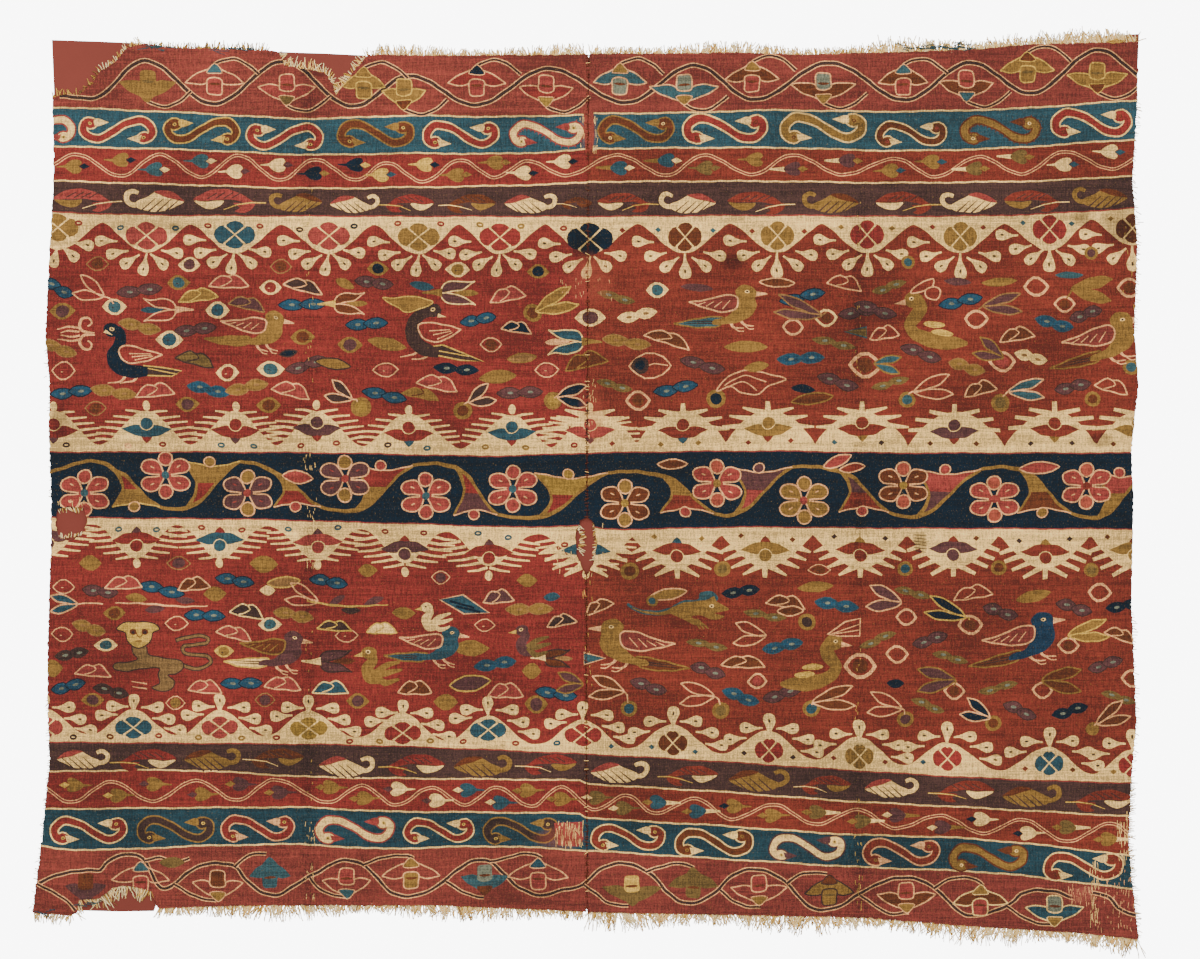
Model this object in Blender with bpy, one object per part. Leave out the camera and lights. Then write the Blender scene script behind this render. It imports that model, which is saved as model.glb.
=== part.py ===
"""Woven shoulder mantle: two tapestry panels on a backing cloth, laid out flat, face up.

Tables below give places in millimetres across and down from the top left corner of the table
that the mantle lies on. The part's own frame has its origin under the middle of the mantle,
on the table top, with +X across, +Y towards the upper edge and +Z up.
"""

import math
import random

import bmesh
import bpy
from mathutils import Vector

MM = 0.001

# Middle of the whole mantle, fringe tips included, across and down the table.
MID_ACROSS = 589.0
MID_DOWN = 486.0

# Thickness of each layer, and the air left between two pieces.
BACKING_THICK = 1.0 * MM
PANEL_THICK = 1.6 * MM
FRINGE_THICK = 1.5 * MM
LAYER_GAP = 0.3 * MM
PANEL_FLOOR = BACKING_THICK + LAYER_GAP

# Plan gaps, in millimetres: half the open seam, the parting of fringe from cloth,
# and how far the hidden edge of the backing lies inside the cloth.
SEAM_HALF_GAP = 0.4
FRINGE_PARTING = 0.4
BACKING_INSET = 2.5

# Upper and lower edges of the two panels, left to right.
TORN_CORNER = ((53, 98), (62, 95), (80, 95), (93, 84), (100, 72), (116, 62), (128, 48))
TOP_LEFT_EDGE = ((145, 44), (170, 48), (275, 51))
TOP_NOTCH = ((279, 53), (285, 66), (310, 70), (325, 73), (333, 84), (336, 96), (345, 84), (360, 64))
TOP_MIDDLE_EDGE = ((369, 55), (420, 56), (588.6, 55))
TOP_RIGHT_EDGE = ((589.4, 54), (656, 54), (739, 53), (800, 55), (880, 53), (975, 50), (1025, 45), (1137.5, 42))
BOTTOM_LEFT_EDGE = ((33, 912), (70, 915), (77, 913))
BOTTOM_TEAR = ((79, 900), (100, 898), (112, 888), (125, 885), (140, 887), (152, 891))
BOTTOM_MIDDLE_EDGE = ((158, 908), (250, 905), (440, 905), (580, 911), (586.6, 912))
BOTTOM_RIGHT_EDGE = ((587.4, 912), (700, 914), (860, 917), (947, 924), (1083, 933), (1138, 939))

# Side edges of the cloth, top to bottom.
LEFT_SELVEDGE = (
    (53, 110), (54, 150), (54, 190), (50, 250), (47, 310), (46, 340), (49, 370), (50, 400), (49, 430),
    (52, 500), (51, 550), (48, 650), (48, 700), (50, 760), (46, 800), (42, 843), (35, 895),
)
RIGHT_SELVEDGE = (
    (1137, 100), (1132, 180), (1137, 245), (1134, 330), (1138, 385), (1131, 450), (1133, 500), (1131, 600),
    (1136, 720), (1131, 780), (1128, 840), (1131, 880), (1134, 900),
)

# The centre seam wanders a little; a worn hole has opened in it.
SEAM = ((588, 150), (588, 250), (587, 440), (587, 517))
SEAM_BELOW = ((586.5, 575), (586, 700), (587, 850))
SEAM_HOLE_LEFT = ((580, 521), (575, 535), (577, 556), (583, 570))
SEAM_HOLE_RIGHT = ((594, 523), (597, 543), (594, 563))
SIDE_HOLE = ((58, 509), (70, 506), (84, 508), (88, 521), (83, 534), (72, 541), (60, 538), (56, 524))

# The backing shows past the cloth at its torn upper corner, in the notch and in the lower tear.
BACKING_TOP_SHOWN = ((52, 40), (143, 43.5), (149, 47.5))
BACKING_NOTCH_SHOWN = ((272, 53.5), (279, 52), (365, 55.5), (370, 57.5))
BACKING_TEAR_SHOWN = ((81, 910.5), (154, 911), (156, 905.5))

# Old fold lines, as low soft ridges: how far they stand up at these distances from the line.
FOLD_LINES = {"left_panel": 309.0, "right_panel": 858.0}
FOLD_PROFILE = ((0.0, 0.9), (5.0, 0.45), (16.0, 0.0))
COCKLE_RISE = 0.5
COCKLE_ACROSS = 88.0
COCKLE_DOWN = 61.0
COCKLE_GRID = 62.0

# Fringe: warp ends gathered in locks on a narrow strip along the cloth's edge.
STRIP_WIDTH = 1.6
LOCK_PITCH = 6.9
LOCK_WIDTH = 2.6
# Each strip: name, edge, side (-1 up, 1 down), start, end, shortest and longest lock, seed.
FRINGES = (
    ("fringe_top_left", TOP_LEFT_EDGE, -1, 147, 268, 3, 7, 11),
    ("fringe_top_middle", TOP_MIDDLE_EDGE, -1, 377, 586, 3, 8, 12),
    ("fringe_top_right", TOP_RIGHT_EDGE, -1, 592, 1136, 7, 14, 13),
    ("fringe_bottom_left", BOTTOM_LEFT_EDGE, 1, 35, 72, 8, 14, 14),
    ("fringe_bottom_middle", BOTTOM_MIDDLE_EDGE, 1, 162, 584, 9, 18, 15),
    ("fringe_bottom_right", BOTTOM_RIGHT_EDGE, 1, 590, 1135, 8, 17, 16),
)
# Locks that reach furthest at the corners: strip, first or last lock, tip.
CORNER_TIPS = {
    "fringe_top_right": ((-2, (1139, 27)), (-1, (1147, 37))),
    "fringe_bottom_left": ((0, (31, 926)),),
    "fringe_bottom_right": ((-1, (1141, 945)),),
}
HIGHEST_TIP = 28.0
LOWEST_TIP = 944.0

# Colour as linear red, green, blue, then roughness.
FINISHES = {
    "backing_cloth": ((0.36, 0.075, 0.06), 0.95),
    "left_panel": ((0.36, 0.045, 0.03), 0.9),
    "right_panel": ((0.33, 0.045, 0.032), 0.9),
    "fringe": ((0.68, 0.56, 0.34), 0.85),
}


def on_table(across, down):
    """Turns a place on the table, in millimetres, into the part's frame, in metres."""
    return (across - MID_ACROSS) * MM, (MID_DOWN - down) * MM


def finish_for(name):
    """A plain material of the piece's own colour."""
    colour, roughness = FINISHES[name if name in FINISHES else "fringe"]
    material = bpy.data.materials.new(name)
    material.use_nodes = True
    shader = material.node_tree.nodes["Principled BSDF"]
    shader.inputs["Base Color"].default_value = (*colour, 1.0)
    shader.inputs["Roughness"].default_value = roughness
    shader.inputs["Metallic"].default_value = 0.0
    return material


def add_mesh(name, mesh, folder):
    """Puts a finished mesh in the mantle's collection with its own material."""
    mesh.name = name
    mesh.materials.clear()
    mesh.materials.append(finish_for(name))
    piece = bpy.data.objects.new(name, mesh)
    folder.objects.link(piece)
    return piece


def cut_outline(loops, thick, floor):
    """Cuts flat cloth: the first loop is its edge and the others are holes. Returns a mesh."""
    curve = bpy.data.curves.new("outline", "CURVE")
    curve.dimensions = "2D"
    curve.fill_mode = "BOTH"
    curve.extrude = thick / 2
    for loop in loops:
        spline = curve.splines.new("POLY")
        spline.points.add(len(loop) - 1)
        spline.use_cyclic_u = True
        for point, place in zip(spline.points, loop):
            point.co = (*on_table(*place), 0.0, 1.0)
    guide = bpy.data.objects.new("outline", curve)
    bpy.context.scene.collection.objects.link(guide)
    bpy.context.view_layer.update()
    mesh = bpy.data.meshes.new_from_object(guide.evaluated_get(bpy.context.evaluated_depsgraph_get()))
    bpy.data.objects.remove(guide)
    shape = bmesh.new()
    shape.from_mesh(mesh)
    bmesh.ops.remove_doubles(shape, verts=shape.verts, dist=0.00001)
    bmesh.ops.translate(shape, verts=shape.verts, vec=(0, 0, floor + thick / 2))
    bmesh.ops.recalc_face_normals(shape, faces=shape.faces)
    shape.to_mesh(mesh)
    shape.free()
    return mesh


def fold_rise(distance):
    """Height of a fold line's soft ridge at a distance from it, in millimetres."""
    for (near, high), (far, low) in zip(FOLD_PROFILE, FOLD_PROFILE[1:]):
        if distance <= far:
            return high + (low - high) * (distance - near) / (far - near)
    return 0.0


def lift(across, down, fold_line):
    """How far the cloth stands off its backing, in millimetres."""
    wave = math.sin(across / COCKLE_ACROSS * math.tau) * math.sin(down / COCKLE_DOWN + across / 130.0)
    ridge = fold_rise(abs(across - fold_line)) * (0.8 + 0.2 * math.sin(down / 47.0))
    return COCKLE_RISE * (0.5 + 0.5 * wave) + ridge


def cut_along(shape, across=None, down=None):
    """Adds a line of vertices right through a cloth, where it bends."""
    x, y = on_table(across or MID_ACROSS, down or MID_DOWN)
    way = Vector((1, 0, 0)) if down is None else Vector((0, 1, 0))
    everything = shape.verts[:] + shape.edges[:] + shape.faces[:]
    bmesh.ops.bisect_plane(shape, geom=everything, plane_co=(x, y, 0), plane_no=way, dist=0.000001)


def lay_unevenly(mesh, fold_line, lowest, highest):
    """Raises the cloth along its fold line and in faint cockles, and keeps its thickness."""
    shape = bmesh.new()
    shape.from_mesh(mesh)
    bends = [fold_line]
    for distance, _ in FOLD_PROFILE[1:]:
        bends += [fold_line - distance, fold_line + distance]
    across = lowest[0] + COCKLE_GRID
    while across < highest[0] - COCKLE_GRID / 2:
        if min(abs(across - bend) for bend in bends) > COCKLE_GRID / 4:
            bends.append(across)
        across += COCKLE_GRID
    for bend in bends:
        cut_along(shape, across=bend)
    down = lowest[1] + COCKLE_GRID
    while down < highest[1] - COCKLE_GRID / 2:
        cut_along(shape, down=down)
        down += COCKLE_GRID
    bmesh.ops.triangulate(shape, faces=shape.faces)
    for corner in shape.verts:
        across = corner.co.x / MM + MID_ACROSS
        down = MID_DOWN - corner.co.y / MM
        corner.co.z += lift(across, down, fold_line) * MM
    shape.to_mesh(mesh)
    shape.free()


def moved(points, across=0.0, down=0.0):
    """The same points shifted on the table."""
    return [(x + across, y + down) for x, y in points]


def left_panel_outline():
    """Edge of the left panel, clockwise from its torn upper corner."""
    top = [*TORN_CORNER, *TOP_LEFT_EDGE, *TOP_NOTCH, *TOP_MIDDLE_EDGE]
    seam = [*moved(SEAM, -SEAM_HALF_GAP), *SEAM_HOLE_LEFT, *moved(SEAM_BELOW, -SEAM_HALF_GAP)]
    bottom = [*BOTTOM_LEFT_EDGE, *BOTTOM_TEAR, *BOTTOM_MIDDLE_EDGE]
    return [*top, *seam, *reversed(bottom), *reversed(LEFT_SELVEDGE)]


def right_panel_outline():
    """Edge of the right panel, clockwise from the top of the seam."""
    seam = [*moved(SEAM, SEAM_HALF_GAP), *SEAM_HOLE_RIGHT, *moved(SEAM_BELOW, SEAM_HALF_GAP)]
    return [*TOP_RIGHT_EDGE, *RIGHT_SELVEDGE, *reversed(BOTTOM_RIGHT_EDGE), *reversed(seam)]


def backing_outline():
    """Edge of the backing: inside the cloth where it is hidden, past it where the cloth is torn."""
    inset = BACKING_INSET
    top = [*BACKING_TOP_SHOWN, *moved(TOP_LEFT_EDGE[1:2], 0, inset), *BACKING_NOTCH_SHOWN]
    top += moved([*TOP_MIDDLE_EDGE[1:2], *TOP_RIGHT_EDGE[1:-1]], 0, inset)
    top += moved(TOP_RIGHT_EDGE[-1:], -inset, inset)
    bottom = moved(BOTTOM_LEFT_EDGE[:1], 4, -inset) + moved(BOTTOM_LEFT_EDGE[1:2], 0, -inset)
    bottom += [*BACKING_TEAR_SHOWN]
    bottom += moved([*BOTTOM_MIDDLE_EDGE[1:4], *BOTTOM_RIGHT_EDGE[1:-1]], 0, -inset)
    bottom += moved(BOTTOM_RIGHT_EDGE[-1:], -inset, -inset)
    left = [(55, 112), *moved(LEFT_SELVEDGE[1:], inset)]
    return [*top, *moved(RIGHT_SELVEDGE, -inset), *reversed(bottom), *reversed(left)]


def edge_height(edge, across):
    """How far down the table an edge runs, at a place across it."""
    for (x0, y0), (x1, y1) in zip(edge, edge[1:]):
        if across <= x1:
            return y0 + (y1 - y0) * (across - x0) / (x1 - x0)
    return edge[-1][1]


def fringe_outline(name, edge, side, start, end, shortest, longest, seed):
    """A comb of tapered locks on a narrow strip that follows the cloth's edge."""
    draw = random.Random(seed)
    inner = [start] + [x for x, _ in edge if start < x < end] + [end]
    strip = [(x, edge_height(edge, x) + side * FRINGE_PARTING) for x in inner]
    count = int((end - start - LOCK_WIDTH) / LOCK_PITCH)
    pitch = (end - start - LOCK_WIDTH) / count
    locks = []
    for i in range(count + 1):
        root = start + LOCK_WIDTH / 2 + i * pitch
        length = draw.uniform(shortest, longest)
        lean = 0.28 * math.sin(root / 61.0 + seed) + draw.uniform(-0.07, 0.07)
        floor = edge_height(edge, root) + side * (FRINGE_PARTING + STRIP_WIDTH)
        tip_down = min(max(floor + side * length, HIGHEST_TIP), LOWEST_TIP)
        locks.append([root, (root + lean * length, tip_down)])
    for place, tip in CORNER_TIPS.get(name, ()):
        locks[place][1] = tip
    comb = []
    for root, tip in locks:
        for across in (root - LOCK_WIDTH / 2, root + LOCK_WIDTH / 2):
            comb.append((across, edge_height(edge, across) + side * (FRINGE_PARTING + STRIP_WIDTH)))
            if across < root:
                comb.append(tip)
    return [*strip, *reversed(comb)]


def build():
    """Lays the backing, the two panels on it, and the fringe strips round them."""
    for left_over in list(bpy.data.objects):
        bpy.data.objects.remove(left_over)
    mantle = bpy.data.collections.new("shoulder_mantle")
    bpy.context.scene.collection.children.link(mantle)

    backing = cut_outline([backing_outline()], BACKING_THICK, 0.0)
    add_mesh("backing_cloth", backing, mantle)

    panels = {
        "left_panel": [left_panel_outline(), SIDE_HOLE],
        "right_panel": [right_panel_outline()],
    }
    for name, loops in panels.items():
        mesh = cut_outline(loops, PANEL_THICK, PANEL_FLOOR)
        lowest = [min(point[i] for point in loops[0]) for i in (0, 1)]
        highest = [max(point[i] for point in loops[0]) for i in (0, 1)]
        lay_unevenly(mesh, FOLD_LINES[name], lowest, highest)
        add_mesh(name, mesh, mantle)

    for row in FRINGES:
        add_mesh(row[0], cut_outline([fringe_outline(*row)], FRINGE_THICK, 0.0), mantle)


build()
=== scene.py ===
import math

import bpy
import numpy as np
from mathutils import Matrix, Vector
from mathutils.geometry import delaunay_2d_cdt


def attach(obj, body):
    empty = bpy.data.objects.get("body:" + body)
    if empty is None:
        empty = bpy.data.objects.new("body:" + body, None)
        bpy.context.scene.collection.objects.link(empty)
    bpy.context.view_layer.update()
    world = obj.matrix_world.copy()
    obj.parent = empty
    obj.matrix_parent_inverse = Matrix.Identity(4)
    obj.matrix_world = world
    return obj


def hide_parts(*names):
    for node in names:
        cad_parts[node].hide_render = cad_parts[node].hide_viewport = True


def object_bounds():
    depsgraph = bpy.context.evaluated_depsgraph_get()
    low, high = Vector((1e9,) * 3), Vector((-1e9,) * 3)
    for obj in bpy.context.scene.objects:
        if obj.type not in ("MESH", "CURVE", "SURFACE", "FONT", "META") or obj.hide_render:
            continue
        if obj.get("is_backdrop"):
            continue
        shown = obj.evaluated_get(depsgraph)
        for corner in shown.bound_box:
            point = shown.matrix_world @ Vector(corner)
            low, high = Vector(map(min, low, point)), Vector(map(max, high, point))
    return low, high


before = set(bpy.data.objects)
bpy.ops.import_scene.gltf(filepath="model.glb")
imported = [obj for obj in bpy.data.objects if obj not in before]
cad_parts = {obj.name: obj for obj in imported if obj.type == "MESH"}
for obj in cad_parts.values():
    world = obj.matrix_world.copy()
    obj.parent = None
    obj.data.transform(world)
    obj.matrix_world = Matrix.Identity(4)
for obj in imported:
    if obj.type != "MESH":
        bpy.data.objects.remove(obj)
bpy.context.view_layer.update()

# Camera, table and light. The mantle lies on a lit white table and is seen from straight above, under
# soft light that comes mostly from a window past its upper edge. Places on the table are in millimetres,
# across and down from its upper left corner.
MM = 0.001
TO_MM = 1000.0
TABLE = (1200.0, 959.0)
MID_ACROSS, MID_DOWN = 589.0, 486.0
LENS, FILM = 100.0, 36.0


def on_table(places):
    """Places on the table, across and down in millimetres, as x and y in metres."""
    places = np.asarray(places, float)
    return np.stack([(places[..., 0] - MID_ACROSS) * MM, (MID_DOWN - places[..., 1]) * MM], -1)


camera_data = bpy.data.cameras.new("camera")
camera_data.lens = LENS
camera_data.sensor_width = FILM
camera_data.sensor_fit = "HORIZONTAL"
camera = bpy.data.objects.new("camera", camera_data)
view_x, view_y = on_table((TABLE[0] / 2, TABLE[1] / 2))
camera.location = (view_x, view_y, TABLE[0] * MM * LENS / FILM)
bpy.context.scene.collection.objects.link(camera)
bpy.context.scene.camera = camera


def principled(name, colour, roughness):
    """A plain material, and its shader."""
    material = bpy.data.materials.new(name)
    material.use_nodes = True
    shader = material.node_tree.nodes["Principled BSDF"]
    shader.inputs["Base Color"].default_value = (*colour, 1.0)
    shader.inputs["Roughness"].default_value = roughness
    return material, shader


table_mesh = bpy.data.meshes.new("table")
table_edge = 3.0
table_mesh.from_pydata([(-table_edge, -table_edge, 0), (table_edge, -table_edge, 0),
    (table_edge, table_edge, 0), (-table_edge, table_edge, 0)], [], [(0, 1, 2, 3)])
table = bpy.data.objects.new("table", table_mesh)
table_paint, table_shader = principled("table_paint", (0.93, 0.93, 0.93), 0.9)
glow_nodes = table_paint.node_tree.nodes
glow = glow_nodes.new("ShaderNodeEmission")
glow.inputs["Strength"].default_value = 8.5
seen_glow = glow_nodes.new("ShaderNodeMixShader")
for start, end in (
    (glow_nodes.new("ShaderNodeLightPath").outputs["Is Camera Ray"], seen_glow.inputs[0]),
    (table_shader.outputs[0], seen_glow.inputs[1]),
    (glow.outputs[0], seen_glow.inputs[2]),
    (seen_glow.outputs[0], glow_nodes["Material Output"].inputs["Surface"]),
):
    table_paint.node_tree.links.new(start, end)
table_mesh.materials.append(table_paint)
bpy.context.scene.collection.objects.link(table)
table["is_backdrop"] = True

for name, place, size, watts in (
    ("window_light", (-0.7, 1.6, 1.7), 1.4, 50.0),
    ("fill_light", (1.7, -1.0, 2.6), 3.0, 30.0),
):
    lamp = bpy.data.lights.new(name, "AREA")
    lamp.size = size
    lamp.energy = watts
    light = bpy.data.objects.new(name, lamp)
    light.location = place
    light.rotation_euler = (-Vector(place)).to_track_quat("-Z", "Y").to_euler()
    bpy.context.scene.collection.objects.link(light)
world = bpy.data.worlds.new("room")
world.use_nodes = True
world.node_tree.nodes["Background"].inputs["Color"].default_value = (0.96, 0.98, 1.0, 1.0)
world.node_tree.nodes["Background"].inputs["Strength"].default_value = 0.85
bpy.context.scene.world = world

# Backing: one plain brick-red cloth, evenly woven, laid under the whole mantle. It shows at the torn
# upper corner, in the notch beside it, in the lower tear and through the two holes.
BACKING_THICK = 1.0
THREAD_PITCH = 0.0007
BACKING_EDGE = (
    (52, 40), (98, 41.5), (143, 43.5), (149, 47.5), (170, 50.5), (272, 53.5), (279, 52), (325, 53.5),
    (365, 55.5), (370, 57.5), (420, 58.5), (585, 57.5), (656, 56.5), (739, 55.5), (800, 57.5),
    (880, 55.5), (975, 52.5), (1025, 47.5), (1101, 43), (1103, 36), (1139, 34), (1136, 100),
    (1129.5, 180), (1134.5, 245), (1131.5, 330), (1135.5, 385), (1128.5, 450), (1130.5, 500),
    (1128.5, 600), (1133.5, 720), (1128.5, 780), (1125.5, 840), (1128.5, 880), (1131.5, 900),
    (1135.5, 936), (1083, 930.5), (947, 921.5), (860, 914.5), (700, 911.5), (590, 909.5), (580, 908.5),
    (440, 902.5), (250, 902.5), (156, 905.5), (154, 911), (118, 911.5), (81, 910.5), (70, 912.5),
    (37, 909.5), (37.5, 895), (44.5, 843), (48.5, 800), (52.5, 760), (50.5, 700), (50.5, 650),
    (53.5, 550), (54.5, 500), (51.5, 430), (52.5, 400), (51.5, 370), (48.5, 340), (49.5, 310),
    (52.5, 250), (56.5, 190), (56.5, 150), (55, 112),
)
DYES = {
    "brick": "#7c3a2f", "red": "#7f2820", "dull red": "#792c1d", "rose": "#803429",
    "dull rose": "#7c3228", "cream": "#fac874", "cotton": "#ffe3a6", "navy": "#001624", "blue": "#25464e",
    "deep blue": "#1a3840", "teal": "#305053", "aubergine": "#452b25", "ochre": "#896329",
    "gold": "#9a742b", "pink": "#94382f", "crimson": "#882a23", "sky": "#1b4152", "rust": "#612e14",
    "bark": "#3a251f", "shell": "#eba568", "violet": "#55302e", "straw": "#cfa143", "sea": "#71725c",
    "olive": "#6d5327", "salmon": "#a44833", "clay": "#906535", "khaki": "#795931", "navyblue": "#102e42",
    "faded": "#8f4338",
}


def dyed(name):
    """A dye's colour as linear red, green and blue."""
    parts = [int(DYES[name][i:i + 2], 16) / 255 for i in (1, 3, 5)]
    return tuple(p / 12.92 if p <= 0.04045 else ((p + 0.055) / 1.055) ** 2.4 for p in parts)


def steps_along(points, step, closed=True):
    """The same line with a point at least every so many millimetres."""
    points = [np.asarray(p, float) for p in points]
    pairs = zip(points, points[1:] + points[:1]) if closed else zip(points, points[1:])
    line = []
    for a, b in pairs:
        count = max(1, math.ceil(np.linalg.norm(b - a) / step))
        line += [a + (b - a) * i / count for i in range(count)]
    return np.array(line if closed else line + [points[-1]])


def inside(points, loop):
    """Which points lie within a loop, whose line may cross itself."""
    turns = np.zeros(len(points), int)
    x, y = points[:, 0], points[:, 1]
    for (ax, ay), (bx, by) in zip(loop, np.roll(loop, -1, 0)):
        if ay == by:
            continue
        side = (bx - ax) * (y - ay) - (x - ax) * (by - ay)
        turns += ((ay <= y) & (by > y) & (side > 0)).astype(int)
        turns -= ((ay > y) & (by <= y) & (side < 0)).astype(int)
    return turns != 0


def sheet_mesh(name, loops, areas, grid, floor, thick, lift):
    """A closed thin sheet of cloth whose face is divided into its woven areas.

    loops are its edge and then its holes, areas are dye and outline in weaving order, grid is the
    spacing of the points that carry its folds, and lift is how far it stands off what is below.
    """
    lines = [np.asarray(loop, float) for loop in loops] + [outline for _, outline in areas]
    low, high = loops[0].min(0), loops[0].max(0)
    free = [(x, y) for x in np.arange(low[0], high[0], grid) for y in np.arange(low[1], high[1], grid)]
    points, edges = [], []
    for line in lines:
        first, count = len(points), len(line)
        points += [Vector(p) for p in line]
        edges += [(first + i, first + (i + 1) % count) for i in range(count)]
    points += [Vector(p) for p in free]
    found, _, faces, *_ = delaunay_2d_cdt(points, edges, [], 0, 0.00005, False)
    spots = np.array([tuple(p) for p in found])
    faces = np.array(faces)
    middles = spots[faces].mean(1)
    order = np.argsort(middles[:, 0])
    faces, middles = faces[order], middles[order]
    kept = inside(middles, lines[0])
    for hole in lines[1:len(loops)]:
        kept &= ~inside(middles, hole)
    faces, middles = faces[kept], middles[kept]
    colours = np.zeros((len(faces), 3))
    for dye, outline in areas:
        (x0, y0), (x1, y1) = outline.min(0), outline.max(0)
        a, b = np.searchsorted(middles[:, 0], (x0, x1))
        near = np.arange(a, b)[(middles[a:b, 1] >= y0) & (middles[a:b, 1] <= y1)]
        if len(near):
            colours[near[inside(middles[near], outline)]] = dyed(dye)
    faces = faces[:, ::-1]  # down the table is down the frame, so now these face up
    used, faces = np.unique(faces, return_inverse=True)
    faces, spots = faces.reshape(-1, 3), spots[used]
    sides = {}
    for f in faces.tolist():
        for i in range(3):
            pair = (f[i], f[(i + 1) % 3])
            if pair[::-1] in sides:
                del sides[pair[::-1]]
            else:
                sides[pair] = True
    rim = sorted({v for pair in sides for v in pair})
    under_points = [Vector(spots[v]) for v in rim]
    where = {v: i for i, v in enumerate(rim)}
    under_free = np.array(free[::9])
    for loop in lines[:len(loops)]:
        keep = inside(under_free, loop) if loop is lines[0] else ~inside(under_free, loop)
        under_free = under_free[keep]
    under_points += [Vector(p) for p in under_free]
    ends = [(where[a], where[b]) for a, b in sides]
    below, _, under, *_ = delaunay_2d_cdt(under_points, ends, [], 0, 0.00001, False)
    below = np.array([tuple(p) for p in below])
    under = np.array(under)
    middles = below[under].mean(1)
    keep = inside(middles, lines[0])
    for hole in lines[1:len(loops)]:
        keep &= ~inside(middles, hole)
    under = under[keep]
    base = len(spots)
    walls = [(b, a, base + where[a], base + where[b]) for a, b in sides]
    both = np.concatenate([spots, below])
    height = lift(both[:, 0], both[:, 1]) + floor
    height[:base] += thick
    places = np.column_stack([on_table(both), height * MM])
    mesh = bpy.data.meshes.new(name)
    mesh.from_pydata(places.tolist(), [], faces.tolist() + (under + base).tolist() + walls)
    mesh.validate()
    shades = np.tile(dyed(areas[0][0]), (len(mesh.polygons), 1))
    shades[:len(colours)] = colours
    dye_layer = mesh.attributes.new("dye", "FLOAT_COLOR", "CORNER")
    per_corner = np.repeat(shades, [len(p.vertices) for p in mesh.polygons], 0)
    dye_layer.data.foreach_set("color", np.column_stack([per_corner, np.ones(len(per_corner))]).ravel())
    mesh.shade_smooth()
    mesh.set_sharp_from_angle(angle=math.radians(50))
    return mesh


class Yarn:
    """A socket in a material's node tree, on which sums are written as plain expressions."""

    def __init__(self, tree, socket):
        self.tree, self.socket = tree, socket

    def node(self, kind, settings=None, **sockets):
        """Adds a node, sets it, feeds its sockets, and returns it."""
        node = self.tree.nodes.new(kind)
        for key, value in (settings or {}).items():
            if key == "stops":
                ramp = node.color_ramp
                while len(ramp.elements) < len(value):
                    ramp.elements.new(0.5)
                for element, (place, colour) in zip(ramp.elements, value):
                    element.position = place
                    element.color = (*colour, 1.0)
            else:
                setattr(node, key, value)
        for key, value in sockets.items():
            spot = int(key[1:]) if key[1:].isdigit() else key.replace("_", " ")
            if isinstance(value, Yarn):
                self.tree.links.new(value.socket, node.inputs[spot])
            else:
                node.inputs[spot].default_value = value
        return node

    def maths(self, work, *terms):
        """A Math node on these terms."""
        fed = {f"i{i}": term for i, term in enumerate(terms)}
        return Yarn(self.tree, self.node("ShaderNodeMath", {"operation": work}, **fed).outputs[0])

    def __add__(self, other):
        return self.maths("ADD", self, other)
    def __radd__(self, other):
        return self.maths("ADD", other, self)
    def __sub__(self, other):
        return self.maths("SUBTRACT", self, other)
    def __rsub__(self, other):
        return self.maths("SUBTRACT", other, self)
    def __mul__(self, other):
        return self.maths("MULTIPLY", self, other)
    def __rmul__(self, other):
        return self.maths("MULTIPLY", other, self)
    def __truediv__(self, other):
        return self.maths("DIVIDE", self, other)

    def size(self):
        """A value without its sign."""
        return self.maths("ABSOLUTE", self)

    def sine(self):
        """The sine of a value."""
        return self.maths("SINE", self)

    def clamp(self, low=0.0, high=1.0):
        """Keeps a value within bounds."""
        fed = self.node("ShaderNodeClamp", None, Value=self, Min=low, Max=high)
        return Yarn(self.tree, fed.outputs[0])

    def ease(self, start, end):
        """Runs from 0 at start to 1 at end."""
        fed = self.node("ShaderNodeMapRange", {"interpolation_type": "SMOOTHSTEP"}, Value=self,
            From_Min=start, From_Max=end)
        return Yarn(self.tree, fed.outputs[0])

    def noise(self, size_x, size_y, detail=2.0, shift=0.0):
        """Mottle whose blots are about this many millimetres across and down. Self is the place."""
        scale = (1.0 / (size_x * MM), 1.0 / (size_y * MM), 1.0)
        placed = self.node("ShaderNodeMapping", None, Vector=self, Location=(shift, shift, 0),
            Scale=scale)
        cloud = self.node("ShaderNodeTexNoise", None, Vector=Yarn(self.tree, placed.outputs[0]),
            Scale=1.0, Detail=detail)
        return Yarn(self.tree, cloud.outputs[0])

    def blend(self, other, share, way="MIX"):
        """Mixes another colour into this one."""
        node = self.tree.nodes.new("ShaderNodeMix")
        node.data_type, node.blend_type = "RGBA", way
        for spot, value in ((0, share), (6, self), (7, other)):
            if isinstance(value, Yarn):
                self.tree.links.new(value.socket, node.inputs[spot])
            elif spot == 0:
                node.inputs[0].default_value = value
            else:
                node.inputs[spot].default_value = (*value, 1.0)
        return Yarn(self.tree, node.outputs[2])

    def shade(self, amount):
        """Multiplies a colour by a value."""
        grey = self.node("ShaderNodeCombineColor", None, Red=amount, Green=amount, Blue=amount)
        return self.blend(Yarn(self.tree, grey.outputs[0]), 1.0, "MULTIPLY")


def cloth_material(name, roughness=0.92, fuzz=0.05):
    """A material for cloth: gives its tree's place and shader to work on."""
    material, shader = principled(name, dyed("brick"), roughness)
    shader.inputs["Sheen Weight"].default_value = fuzz
    shader.inputs["Sheen Roughness"].default_value = 0.6
    shader.inputs["Specular IOR Level"].default_value = 0.15
    tree = material.node_tree
    place = Yarn(tree, tree.nodes.new("ShaderNodeTexCoord").outputs["Object"])
    return material, shader, place


def raise_grain(place, shader, height, depth):
    """Lets a height, in millimetres, stand out of the surface."""
    bump = place.node("ShaderNodeBump", None, Height=height, Strength=1.0, Distance=depth * MM)
    place.tree.links.new(bump.outputs[0], shader.inputs["Normal"])


def backing_lift(x, y):
    """The backing lies flat on the table."""
    return np.zeros(len(x))


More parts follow.
